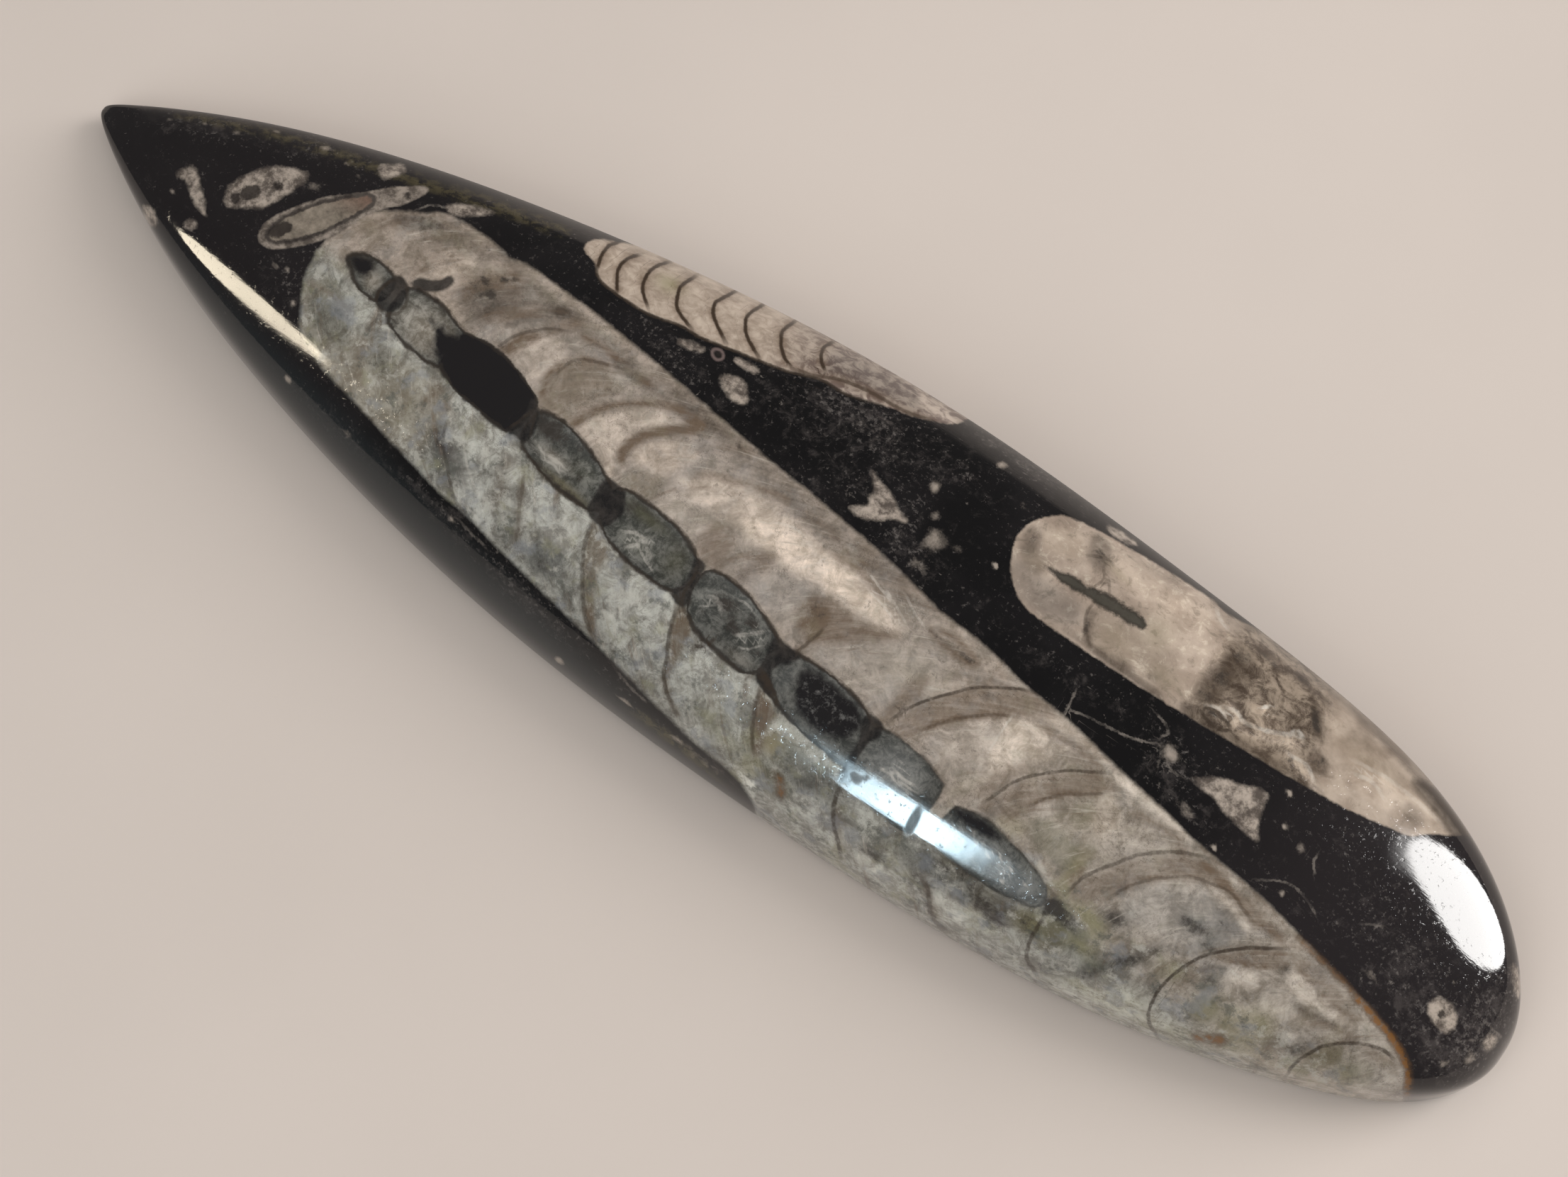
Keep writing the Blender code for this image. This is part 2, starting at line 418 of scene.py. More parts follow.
# Thin dark lines: strength, half width, points
DARK_LINES = (
    # necks of the siphon
    (0.6, 2.6, ((484, -32), (474, -18), (470, 0), (476, 14), (492, 20), (508, 12), (512, -6),
     (504, -24), (492, -32))),
    (0.5, 2.2, ((487, 18), (489, 34), (487, 52))),
    (0.6, 2.6, ((1058, 68), (1064, 84), (1064, 104), (1070, 124), (1084, 134), (1100, 139))),
    (0.6, 2.6, ((1213, 147), (1230, 155), (1258, 166))),
    (0.54, 2.6, ((1240, 92), (1290, 89), (1330, 93), (1362, 100), (1388, 115))),
    (0.35, 2.6, ((1388, 115), (1406, 112), (1440, 109), (1480, 115), (1522, 131))),
    (0.3, 2.6, ((1548, 150), (1562, 142), (1600, 135), (1640, 141), (1680, 151), (1712, 161),
     (1740, 174))),
    (0.54, 2.6, ((1070, 64), (1100, 57), (1140, 61), (1180, 74), (1226, 97))),
    (0.54, 2.6, ((900, 42), (930, 32), (970, 34), (1010, 39), (1042, 51), (1066, 68))),
    (0.48, 2.6, ((746, 8), (780, 4), (810, 7), (850, 19), (880, 34), (900, 44))),
    (0.42, 2.6, ((500, -33), (530, -38), (560, -36), (590, -26), (612, -23))),
    (0.42, 2.6, ((404, -17), (420, -34), (440, -39), (470, -35), (484, -30))),
    (0.36, 2.6, ((420, -2), (440, 11), (456, 15), (478, 15))),
    (0.42, 2.6, ((500, 26), (530, 39), (570, 44), (604, 43))),
    (0.48, 2.6, ((752, 66), (780, 76), (810, 86), (850, 91), (892, 90))),
    (0.48, 2.6, ((905, 92), (930, 109), (970, 119), (1010, 123), (1052, 121), (1072, 126))),
    (0.42, 2.6, ((1086, 136), (1120, 151), (1160, 156), (1214, 158))),
    (0.2, 2.6, ((1400, 209), (1460, 216), (1520, 216), (1600, 214), (1650, 216), (1690, 212),
     (1726, 200))),
    # septa of the far half
    (0.8, 2.4, ((1405, 104), (1412, 80), (1424, 60), (1434, 44), (1450, 25), (1470, 2),
     (1485, -12), (1505, -25), (1530, -40), (1548, -48))),
    (0.7, 2.4, ((1580, 122), (1590, 96), (1598, 76), (1612, 55), (1632, 35), (1655, 15),
     (1680, 0), (1704, -14))),
    (0.65, 2.8, ((1748, 164), (1755, 132), (1768, 108), (1785, 84), (1800, 62), (1822, 42),
     (1850, 22), (1884, 8))),
    (0.85, 2.6, ((1974, 258), (1950, 248), (1940, 236), (1934, 215), (1934, 192), (1940, 165),
     (1950, 141), (1963, 120), (1985, 98), (2006, 80), (2030, 64), (2052, 50))),
    (0.8, 2.6, ((2150, 206), (2150, 182), (2157, 160), (2168, 140), (2185, 122), (2205, 108),
     (2226, 98), (2250, 94), (2266, 97))),
    (0.6, 2.4, ((1256, 42), (1252, 62), (1246, 82), (1240, 96))),
    (0.7, 4, ((1413, 72), (1414, 86))),
    # septa of the near half
    (0.7, 3, ((1066, 128), (1075, 156), (1085, 180), (1096, 200), (1104, 220), (1118, 236),
     (1140, 252), (1156, 260))),
    (0.6, 3, ((903, 98), (908, 126), (920, 152), (936, 176), (955, 201), (975, 222),
     (1002, 238))),
    (0.6, 3, ((1228, 160), (1240, 192), (1256, 222), (1272, 244))),
    (0.8, 3, ((1400, 208), (1402, 226), (1410, 246), (1425, 266), (1440, 279), (1458, 297))),
    (0.7, 3.6, ((1560, 254), (1580, 262), (1592, 275), (1602, 286), (1620, 297), (1642, 299))),
    (0.8, 3, ((1741, 205), (1742, 226), (1745, 250), (1755, 269), (1778, 278))),
    (0.5, 2.2, ((653, -28), (662, -52), (677, -72), (700, -93), (724, -105))),
    (0.4, 2.2, ((742, -40), (748, -64), (759, -81), (795, -96), (824, -105))),
    (0.5, 2.4, ((652, 98), (664, 126), (690, 150))),
    (0.4, 2.4, ((1450, 86), (1470, 58), (1490, 36), (1516, 14), (1546, -4))),
    (0.45, 2.4, ((1802, 134), (1814, 108), (1830, 86), (1850, 66), (1880, 44), (1906, 36),
     (1940, 30), (1970, 40), (1996, 48))),
    (0.4, 2.2, ((1634, 92), (1650, 66), (1672, 44), (1696, 28), (1716, 12))),
    (0.5, 2.6, ((690, 150), (704, 166), (722, 182), (752, 191))),
    (0.4, 2.6, ((783, 96), (795, 120), (810, 150), (828, 182))),
    (1, 3, ((1137, 140), (1132, 154), (1118, 165))),
    (1, 4.5, ((1213, 140), (1234, 150), (1250, 159), (1264, 171))),
    # beads: cracks
    (0.5, 2.2, ((745, 15), (738, 36), (730, 56))),
    (0.4, 2.2, ((750, 15), (755, 34), (762, 50))),
    # edge of the small orthocone
    (0.8, 2.2, ((700, -205), (706, -200), (715, -191), (735, -186), (790, -186), (820, -191),
     (850, -199), (880, -201), (910, -207), (950, -216), (1000, -227), (1030, -237), (1060, -247),
     (1100, -250), (1150, -265))),
    # scratch and vein in the blunt orthocone
    (0.5, 2.4, ((1552, -202), (1552, -182), (1564, -162), (1580, -149))),
    (0.4, 2.2, ((1504, -250), (1528, -262), (1546, -262))),
    (0.45, 2.2, ((1534, -252), (1545, -236), (1538, -216))),
    (0.4, 2.2, ((1550, -242), (1566, -220))),
    (0.8, 2.6, ((1760, -163), (1776, -170), (1800, -167), (1812, -160), (1796, -152),
     (1772, -154), (1761, -162))),
)
# Septa of the small orthocone: strength, half width, points
SMALL_SEPTA = (
    (1, 2.7, ((715, -252), (703, -235), (703, -215), (708, -200))),
    (1, 2.7, ((748, -252), (735, -235), (733, -215), (745, -195), (750, -187))),
    (1, 2.7, ((790, -268), (775, -250), (771, -232), (777, -212), (800, -193))),
    (1, 2.7, ((830, -272), (820, -248), (823, -232), (835, -215), (870, -203))),
    (1, 2.7, ((890, -288), (878, -265), (873, -252), (883, -235), (920, -213))),
    (1, 2.7, ((933, -295), (922, -270), (922, -258), (935, -240), (970, -222))),
    (1, 2.7, ((983, -300), (974, -275), (980, -260), (995, -245), (1015, -237))),
    (1, 2.7, ((1042, -302), (1035, -285), (1042, -270), (1055, -260))),
    (0.7, 2.6, ((1008, -236), (1045, -246), (1080, -262), (1130, -272), (1180, -276),
     (1230, -290))),
)
# Soft brown stripes in the great shell: strength, width, points
BROWN_BANDS = (
    (0.75, 15, ((560, -62), (580, -88), (602, -108), (630, -132))),
    (0.68, 5, ((742, -6), (735, -28), (736, -48), (748, -70))),
    (0.75, 6, ((758, -78), (780, -90), (800, -98))),
    (0.9, 5, ((740, -110), (775, -111), (812, -112))),
    (0.6, 6, ((842, -104), (862, -108))),
    (0.6, 7, ((630, -60), (650, -84), (680, -110))),
    (0.52, 7, ((612, -50), (630, -72), (648, -92))),
    (0.52, 9, ((694, -84), (712, -104), (736, -130))),
    (0.5, 4, ((962, -58), (980, -78), (1000, -92), (1018, -102), (1040, -110))),
    (0.63, 6, ((975, -26), (1000, -46), (1036, -60), (1090, -76), (1135, -78))),
    (0.4, 8, ((1110, -80), (1160, -78), (1210, -74))),
    (0.69, 5, ((1206, -52), (1240, -54), (1275, -50), (1305, -40))),
    (0.57, 6, ((1212, -64), (1236, -66), (1262, -66))),
    (0.34, 14, ((1230, -84), (1290, -78), (1350, -68))),
    (0.69, 4, ((1256, 40), (1252, 60), (1246, 80), (1240, 95))),
    (0.8, 5, ((1378, -44), (1396, -35), (1430, -31), (1466, -35))),
    (0.8, 5, ((1384, -46), (1420, -50), (1450, -44), (1468, -36))),
    (0.57, 5, ((1450, 86), (1470, 58), (1490, 36), (1516, 14), (1546, -4))),
    (0.46, 8, ((1480, -20), (1500, -44), (1520, -54))),
    (0.57, 5, ((1634, 92), (1650, 66), (1672, 44), (1696, 28), (1716, 12))),
    (0.69, 5, ((1584, -18), (1620, -17), (1660, -18), (1700, -12))),
    (0.57, 5, ((1760, 14), (1800, 9), (1850, 6))),
    (0.57, 10, ((1836, 14), (1862, 22))),
    (0.69, 5, ((1802, 134), (1814, 108), (1830, 86), (1850, 66), (1880, 44), (1906, 36))),
    (0.69, 5, ((1906, 36), (1940, 30), (1970, 40), (1996, 48), (2030, 40))),
    (0.46, 9, ((1960, 20), (2000, 30), (2040, 44))),
    (0.8, 4, ((1992, 112), (2014, 102), (2034, 94), (2044, 86))),
    (0.57, 3.5, ((2068, 64), (2100, 70), (2130, 78), (2160, 81), (2182, 78))),
    (0.46, 8, ((1960, 206), (1958, 176), (1968, 150), (1980, 130))),
    (0.52, 6, ((2124, 126), (2140, 118), (2170, 108), (2200, 102))),
    (0.52, 7, ((612, 58), (616, 74), (608, 96))),
    (0.46, 7, ((640, 76), (640, 92))),
    (0.57, 5, ((486, 20), (485, 40), (488, 58))),
    (0.4, 4, ((380, 42), (420, 40), (460, 44))),
    (0.4, 8, ((490, 62), (502, 92), (526, 128))),
    (0.46, 6, ((783, 95), (795, 120), (810, 150), (830, 186))),
    (0.34, 10, ((752, 84), (766, 130), (778, 160))),
    (0.4, 8, ((958, 200), (984, 224), (1010, 236))),
    (0.46, 7, ((1410, 236), (1428, 262), (1456, 290))),
    (0.46, 6, ((1170, 186), (1174, 206), (1190, 224))),
    (0.57, 8, ((1572, 258), (1592, 274), (1620, 294))),
    (0.4, 10, ((400, -60), (420, -84), (450, -104))),
    (0.4, 10, ((500, -56), (508, -76), (520, -94))),
)
# Soft-edged areas of the great shell: softness, lightness, warmth, olive, brown, outline
WASHES = (
    # far half, from the rounded start to the glow
    (8, 0.23, 0, 0, 0, ((672, -30), (684, -62), (700, -86), (722, -88), (742, -66), (728, -30),
     (722, -14), (700, -24))),
    (6, 0, 0, 0, 1.01, ((654, -26), (660, -46), (670, -66), (686, -78), (696, -74), (684, -50),
     (674, -30))),
    (7, 0.35, 0, 0, 0, ((806, 6), (822, -24), (840, -48), (866, -68), (886, -80), (912, -90),
     (925, -88), (905, -66), (888, -46), (876, -20), (876, 4), (888, 34), (868, 20), (836, 8))),
    (6, 0, 0, 0, 1.08, ((796, 0), (808, -26), (826, -52), (852, -74), (880, -92), (910, -104),
     (950, -105), (958, -96), (930, -92), (905, -92), (880, -82), (856, -66), (836, -46),
     (820, -24), (808, 2))),
    (6, 0, 0, 0, 1.15, ((878, 4), (876, -18), (888, -44), (908, -66), (934, -88), (956, -98),
     (952, -84), (928, -66), (908, -48), (896, -30), (890, -8), (892, 8))),
    (10, 0, 0, 0.15, 0.47, ((738, -4), (736, -40), (748, -72), (780, -92), (830, -76), (812, -48),
     (800, -20), (792, 2), (765, 8))),
    (8, 0.23, 0.3, 0, 0, ((896, -8), (900, -30), (915, -48), (940, -62), (975, -58), (965, -40),
     (950, -16), (925, -4))),
    (8, -0.04, 0, 0.2, 0.27, ((905, 30), (912, 6), (930, -2), (960, -4), (958, 20), (940, 32))),
    (10, 0.2, -0.2, 0, 0, ((960, 32), (966, 0), (990, -12), (1020, -14), (1040, 0), (1044, 36),
     (1000, 36))),
    (12, 0.38, 0.1, 0, 0, ((965, -14), (985, -36), (1010, -50), (1060, -62), (1120, -64),
     (1180, -56), (1240, -52), (1290, -42), (1340, -26), (1350, -8), (1310, 0), (1260, -2),
     (1200, -2), (1150, -2), (1090, -6), (1030, -8))),
    (14, 0.29, 0.1, 0, 0, ((1080, -20), (1120, -44), (1200, -44), (1270, -34), (1310, -20),
     (1260, -8), (1180, -6), (1110, -8))),
    (8, 0, 0, 0, 0.61, ((1040, 46), (1042, 10), (1056, -2), (1082, 8), (1088, 52), (1066, 62))),
    (6, 0, 0, 0, 0.61, ((1112, 56), (1116, 34), (1128, 10), (1146, 2), (1142, 20), (1130, 36),
     (1124, 58))),
    (8, 0, -0.25, 0, 0, ((1146, 52), (1152, 20), (1172, 6), (1210, 6), (1212, 24), (1200, 60),
     (1180, 68))),
    (7, 0, 0, 0, 0.74, ((1210, 32), (1220, 10), (1248, 0), (1290, 4), (1330, -6), (1352, -10),
     (1340, 6), (1316, 22), (1290, 44), (1262, 64), (1246, 70), (1226, 62), (1214, 48))),
    (6, 0, 0, 0, 0.54, ((1226, 36), (1234, 20), (1250, 18), (1254, 34), (1244, 50), (1230, 50))),
    (8, 0.12, -0.2, 0.05, 0, ((1268, 70), (1296, 46), (1322, 24), (1350, 4), (1395, -2),
     (1398, 30), (1388, 80), (1330, 84))),
    # far half, between the curved walls
    (7, 0, 0, 0, 0.61, ((1392, 104), (1394, 60), (1404, 26), (1420, 16), (1424, 40), (1410, 76),
     (1404, 104))),
    (5, 0, 0, 0, 0.58, ((1412, 104), (1424, 66), (1446, 30), (1474, -4), (1502, -26), (1540, -46),
     (1582, -46), (1600, -36), (1574, -22), (1545, -2), (1514, 18), (1490, 38), (1470, 62),
     (1452, 90), (1434, 110))),
    (6, 0.2, -0.35, 0, 0, ((1458, 98), (1476, 66), (1500, 40), (1530, 16), (1548, 8), (1550, 60),
     (1552, 110), (1500, 112))),
    (6, 0.23, -0.2, 0, 0, ((1542, 110), (1548, 90), (1562, 74), (1572, 84), (1566, 104),
     (1554, 118))),
    (8, 0.26, 0, 0, 0, ((1550, 60), (1549, 10), (1562, -10), (1600, -16), (1640, -10), (1625, 10),
     (1602, 40), (1585, 66), (1568, 80))),
    (7, 0, 0, 0, 0.47, ((1562, 118), (1566, 88), (1580, 62), (1600, 38), (1606, 50), (1592, 80),
     (1580, 112))),
    (5, 0, 0, 0, 0.52, ((1580, 128), (1594, 92), (1610, 62), (1638, 32), (1668, 8), (1700, -8),
     (1722, -4), (1716, 14), (1690, 32), (1668, 50), (1650, 72), (1638, 96), (1626, 126),
     (1600, 130))),
    (5, 0.2, 0.3, 0, 0, ((1588, -34), (1620, -38), (1660, -34), (1700, -26), (1695, -22),
     (1650, -26), (1600, -26))),
    (8, 0.07, 0, 0.45, 0, ((1606, 136), (1612, 120), (1640, 112), (1652, 126), (1640, 140))),
    (5, 0.32, 0, 0, 0, ((1712, -20), (1760, -20), (1820, -10), (1862, -2), (1840, 2), (1780, -4),
     (1720, -10))),
    (5, 0, 0, 0, 0.5, ((1752, 160), (1762, 128), (1782, 94), (1806, 62), (1836, 38), (1866, 22),
     (1900, 10), (1930, 14), (1935, 28), (1900, 36), (1875, 46), (1850, 64), (1830, 84),
     (1812, 110), (1800, 140), (1778, 160))),
    (10, 0.07, -0.5, 0, 0, ((1822, 130), (1840, 90), (1870, 66), (1910, 50), (1950, 60),
     (1975, 90), (1950, 120), (1900, 135), (1850, 140))),
    (9, -0.17, 0, 0, 0.14, ((1936, 50), (1960, 46), (1978, 62), (1972, 86), (1950, 84))),
    (5, 0, 0, 0, 0.5, ((1965, 122), (1990, 94), (2020, 70), (2050, 50), (2068, 60), (2060, 80),
     (2040, 92), (2010, 106), (1985, 118))),
    (5, 0, 0, 0, 0.47, ((2050, 38), (2100, 48), (2150, 60), (2200, 76), (2180, 84), (2140, 77),
     (2100, 68), (2070, 64))),
    (6, 0.2, 0, 0, 0, ((2075, 70), (2110, 76), (2150, 84), (2190, 88), (2170, 98), (2130, 100),
     (2100, 98), (2080, 90))),
    (6, 0.38, -0.3, 0, 0, ((2000, 112), (2020, 106), (2040, 108), (2046, 124), (2020, 132),
     (2002, 128))),
    (9, 0.03, 0, 0.45, 0, ((2036, 160), (2070, 150), (2100, 160), (2090, 185), (2060, 200),
     (2030, 195))),
    (6, 0.38, -0.5, 0, 0, ((2112, 148), (2124, 144), (2134, 152), (2128, 162), (2114, 158))),
    (8, -0.14, 0, 0.4, 0.27, ((2152, 190), (2158, 160), (2172, 136), (2192, 122), (2200, 140),
     (2186, 166), (2170, 186))),
    (6, 0, 0, 0, 0.5, ((2215, 106), (2240, 97), (2265, 99), (2282, 112), (2270, 116),
     (2240, 112))),
    (8, 0.17, -0.3, 0, 0, ((2226, 140), (2242, 118), (2270, 120), (2288, 136), (2270, 158),
     (2240, 160))),
    # near half
    (8, 0.23, -0.1, 0, 0, ((642, 62), (700, 66), (740, 70), (780, 90), (786, 120), (750, 120),
     (700, 118), (662, 108), (646, 90))),
    (8, -0.26, -0.3, 0, 0.14, ((640, 95), (656, 114), (690, 124), (716, 140), (722, 160),
     (700, 152), (668, 146), (650, 126))),
    (8, 0.2, -0.3, 0, 0, ((702, 150), (730, 142), (760, 160), (790, 186), (770, 192),
     (730, 184))),
    (8, 0.23, -0.2, 0, 0, ((795, 94), (840, 96), (896, 96), (902, 130), (900, 156), (850, 154),
     (812, 140))),
    (9, -0.29, -0.3, 0, 0, ((850, 170), (876, 158), (900, 168), (904, 196), (880, 204),
     (856, 194))),
    (6, 0, 0, 0.15, 0.61, ((903, 98), (930, 112), (946, 126), (950, 160), (975, 204), (1000, 236),
     (976, 224), (948, 192), (924, 156), (908, 126))),
    (8, 0.23, -0.15, 0, 0, ((940, 128), (1000, 126), (1062, 126), (1070, 150), (1084, 190),
     (1094, 216), (1116, 240), (1080, 242), (1030, 232), (1000, 212), (975, 180), (954, 156))),
    (6, 0, 0, 0.15, 0.81, ((1066, 126), (1098, 140), (1106, 170), (1110, 200), (1112, 222),
     (1136, 246), (1156, 258), (1140, 254), (1112, 234), (1100, 208), (1084, 176), (1072, 150))),
    (8, 0.2, -0.1, 0, 0, ((1116, 200), (1124, 172), (1150, 162), (1222, 164), (1226, 190),
     (1240, 220), (1252, 248), (1200, 264), (1150, 254), (1120, 228))),
    (6, 0, 0, 0.1, 1.01, ((1228, 160), (1255, 172), (1270, 180), (1268, 205), (1280, 236),
     (1276, 248), (1258, 232), (1240, 195))),
    (8, 0.03, 0.6, 0.25, 0, ((1270, 204), (1296, 204), (1298, 226), (1276, 228))),
    (6, 0.12, 0, 0.7, 0, ((1262, 248), (1284, 244), (1296, 258), (1288, 274), (1270, 272))),
    (4, 0.61, -0.2, 0, 0, ((1258, 276), (1270, 270), (1286, 276), (1302, 278), (1296, 286),
     (1272, 284))),
    (8, 0.14, 0, 0.1, 0, ((1274, 184), (1320, 188), (1388, 194), (1384, 204), (1330, 206),
     (1280, 202))),
    (10, -0.2, -0.2, 0, 0, ((1310, 208), (1350, 204), (1396, 212), (1398, 240), (1350, 246),
     (1316, 236))),
    (7, 0.26, -0.3, 0, 0, ((1362, 248), (1384, 244), (1398, 256), (1390, 272), (1368, 270))),
    (9, -0.23, 0, 0.1, 0.2, ((1576, 208), (1620, 206), (1660, 216), (1700, 222), (1704, 248),
     (1660, 250), (1620, 230), (1582, 226))),
    (7, -0.14, 0, 0.5, 0.27, ((1702, 214), (1738, 212), (1740, 236), (1712, 240))),
    (8, 0.2, -0.1, 0.45, 0, ((1640, 254), (1670, 250), (1698, 258), (1690, 270), (1650, 270))),
    (8, -0.12, 0, 0.35, 0.14, ((1752, 200), (1784, 208), (1792, 226), (1780, 246), (1758, 244))),
    (7, 0.05, 0, 0.4, 0, ((1786, 160), (1808, 168), (1830, 184), (1832, 204), (1812, 214),
     (1800, 208), (1816, 198), (1802, 184), (1780, 174))),
    (7, 0.35, -0.2, 0.2, 0, ((1846, 262), (1872, 244), (1910, 230), (1946, 232), (1950, 246),
     (1900, 258))),
    (5, 0.49, -0.4, 0, 0, ((1804, 280), (1826, 270), (1862, 266), (1852, 274), (1824, 282))),
    # the greyer strip under the upper wall
    (9, -0.13, 0, 0, 0.12, ((850, -134), (1000, -117), (1150, -104), (1300, -86), (1380, -70),
     (1350, -52), (1280, -62), (1180, -68), (1100, -80), (1000, -86), (960, -98), (900, -110))),
    (12, -0.1, 0, 0, 0.15, ((560, -140), (620, -142), (660, -110), (640, -70), (610, -40),
     (575, -50), (570, -100))),
    (9, 0.1, 0, 0.1, 0, ((392, 20), (430, 24), (470, 26), (478, 50), (440, 46), (400, 42))),
    (9, -0.1, -0.2, 0, 0, ((400, 60), (440, 56), (470, 70), (466, 96), (430, 92), (408, 80))),
    (9, 0.06, 0, 0.1, 0, ((500, 100), (560, 60), (600, 56), (610, 110), (640, 140), (600, 150),
     (540, 136))),
    # painted reflection: the shell's near edge made lighter where the side mirrors the bright
    # floor
    (10, 0.16, -0.1, 0.1, 0, ((1850, 262), (1950, 238), (2050, 216), (2150, 192), (2250, 160),
     (2290, 150), (2260, 190), (2150, 230), (2000, 270), (1860, 290))),
    (8, -0.1, 0, 0.3, 0.1, ((1690, 44), (1712, 40), (1726, 56), (1716, 74), (1696, 70))),
    (8, -0.12, -0.3, 0.2, 0, ((1655, 96), (1690, 90), (1730, 100), (1738, 128), (1700, 136),
     (1664, 124))),
    (7, 0.16, -0.3, 0, 0, ((1640, 64), (1664, 56), (1680, 74), (1668, 92), (1646, 86))),
    (7, 0.14, -0.2, 0, 0, ((1862, 148), (1884, 136), (1904, 142), (1890, 160), (1868, 162))),
    (7, -0.1, 0, 0.4, 0, ((1980, 190), (2000, 170), (2020, 180), (2010, 204), (1986, 206))),
    (5, -0.12, -0.3, 0, 0.1, ((1876, 196), (1884, 176), (1896, 160), (1916, 148), (1944, 136),
     (1950, 130), (1930, 134), (1906, 140), (1888, 152), (1872, 174), (1862, 194))),
    (5, -0.16, -0.3, 0, 0, ((1824, 246), (1840, 226), (1858, 208), (1874, 196), (1870, 208),
     (1856, 224), (1842, 244), (1832, 252))),
    (6, -0.3, -0.6, 0, 0, ((1730, 180), (1752, 174), (1780, 180), (1806, 192), (1808, 200),
     (1786, 206), (1750, 206), (1732, 202))),
    (5, 0, 0, 0, 0.5, ((1880, 14), (1940, 20), (1990, 32), (2030, 40), (2050, 50), (2030, 52),
     (1990, 44), (1950, 34), (1900, 26))),
    (4, 0.35, 0, 0, 0.1, ((1910, 34), (1950, 42), (1990, 56), (1984, 62), (1950, 50),
     (1914, 42))),
    (6, -0.3, 0, 0, 0.3, ((2100, 110), (2120, 104), (2150, 102), (2170, 104), (2150, 112),
     (2120, 118))),
    (8, 0.22, -0.2, 0, 0, ((2060, 120), (2090, 110), (2120, 122), (2100, 140), (2070, 140))),
    (8, -0.2, -0.2, 0.2, 0, ((1960, 250), (1990, 240), (2040, 236), (2060, 240), (2020, 252),
     (1980, 258))),
    (6, 0.25, -0.2, 0, 0, ((1550, 60), (1556, 30), (1570, 14), (1590, 10), (1584, 40),
     (1566, 66))),
    (7, -0.2, 0.2, 0, 0.2, ((1640, 0), (1660, -10), (1690, -10), (1700, 4), (1670, 10))),
    (8, 0.2, 0.2, 0, 0, ((1712, 8), (1740, 14), (1760, 40), (1740, 70), (1716, 50))),
    (8, -0.16, 0, 0.2, 0.1, ((1720, 100), (1736, 84), (1752, 92), (1746, 130), (1726, 140))),
    (8, 0.2, -0.2, 0, 0, ((1430, 226), (1480, 224), (1500, 240), (1480, 256), (1440, 250))),
    (7, -0.24, -0.2, 0, 0, ((1520, 230), (1556, 222), (1570, 240), (1556, 256), (1526, 252))),
    (7, 0.24, -0.2, 0, 0, ((1600, 262), (1640, 258), (1660, 276), (1640, 290), (1606, 282))),
    (7, 0.24, -0.2, 0.1, 0, ((1480, 276), (1530, 274), (1570, 284), (1560, 296), (1490, 296))),
    (8, -0.2, -0.1, 0.3, 0, ((1300, 246), (1340, 250), (1350, 268), (1320, 280), (1296, 268))),
    (8, -0.2, -0.2, 0, 0, ((1560, 224), (1600, 232), (1640, 244), (1620, 252), (1580, 244))),
    # painted reflection: the shell's near edge made lighter, in place of more light from the near
    # side
    (14, 0.2, -0.1, 0, 0, ((1290, 272), (1400, 262), (1600, 262), (1800, 246), (2000, 222),
     (2200, 164), (2290, 150), (2290, 300), (1290, 340))),
    (6, 0.3, -0.2, 0.1, 0, ((1600, 264), (1630, 260), (1650, 276), (1630, 288), (1604, 280))),
    (6, 0.3, -0.2, 0, 0, ((1470, 278), (1500, 272), (1530, 280), (1520, 292), (1480, 292))),
    (8, -0.14, 0, 0, 0.12, ((660, -132), (760, -128), (860, -122), (940, -108), (900, -104),
     (800, -110), (700, -116))),
    (8, -0.12, 0, 0, 0.1, ((400, -120), (480, -138), (540, -140), (540, -110), (470, -100),
     (420, -90))),
    (8, 0.14, 0, 0, 0, ((520, -110), (560, -116), (570, -80), (540, -56), (516, -70))),
    (24, 0, -0.35, 0, 0, ((580, -136), (900, -110), (1400, -60), (1400, 100), (1200, 80),
     (900, 30), (740, 0), (600, -30))),
    (14, -0.06, 0.35, 0.1, 0.12, ((385, 30), (480, 60), (640, 66), (640, 150), (560, 170),
     (460, 140), (400, 100))),
    (6, -0.2, 0, 0, 0.2, ((640, -130), (700, -128), (690, -112), (650, -100), (620, -60),
     (606, -50), (616, -90))),
    (6, -0.16, 0, 0, 0.2, ((700, -124), (730, -124), (720, -100), (700, -84), (690, -92))),
    (4, -0.25, 0, 0, 0.3, ((700, -128), (712, -128), (690, -104), (668, -84), (650, -62),
     (642, -64), (660, -92), (680, -112))),
    (4, 0.2, 0, 0, 0, ((722, -124), (736, -122), (716, -98), (694, -86), (682, -84),
     (700, -104))),
    (4, -0.2, 0, 0, 0.3, ((800, -112), (860, -110), (900, -104), (880, -98), (840, -96),
     (800, -100))),
    (5, 0.2, 0, 0, 0, ((580, -128), (610, -132), (600, -110), (584, -100))),
    (5, -0.2, -0.2, 0, 0.1, ((430, -104), (470, -124), (500, -128), (480, -112), (446, -94))),
    (10, 0, 0, 0.42, 0, ((90, -40), (200, -84), (330, -122), (440, -152), (560, -186),
     (640, -206), (636, -228), (500, -196), (380, -160), (240, -118), (120, -70))),
    # painted reflection: olive along the near edge, where the side mirrors the floor
    (10, 0, 0, 0.34, 0, ((420, 216), (520, 236), (640, 256), (760, 276), (880, 296), (880, 312),
     (740, 298), (600, 276), (480, 250))),
)
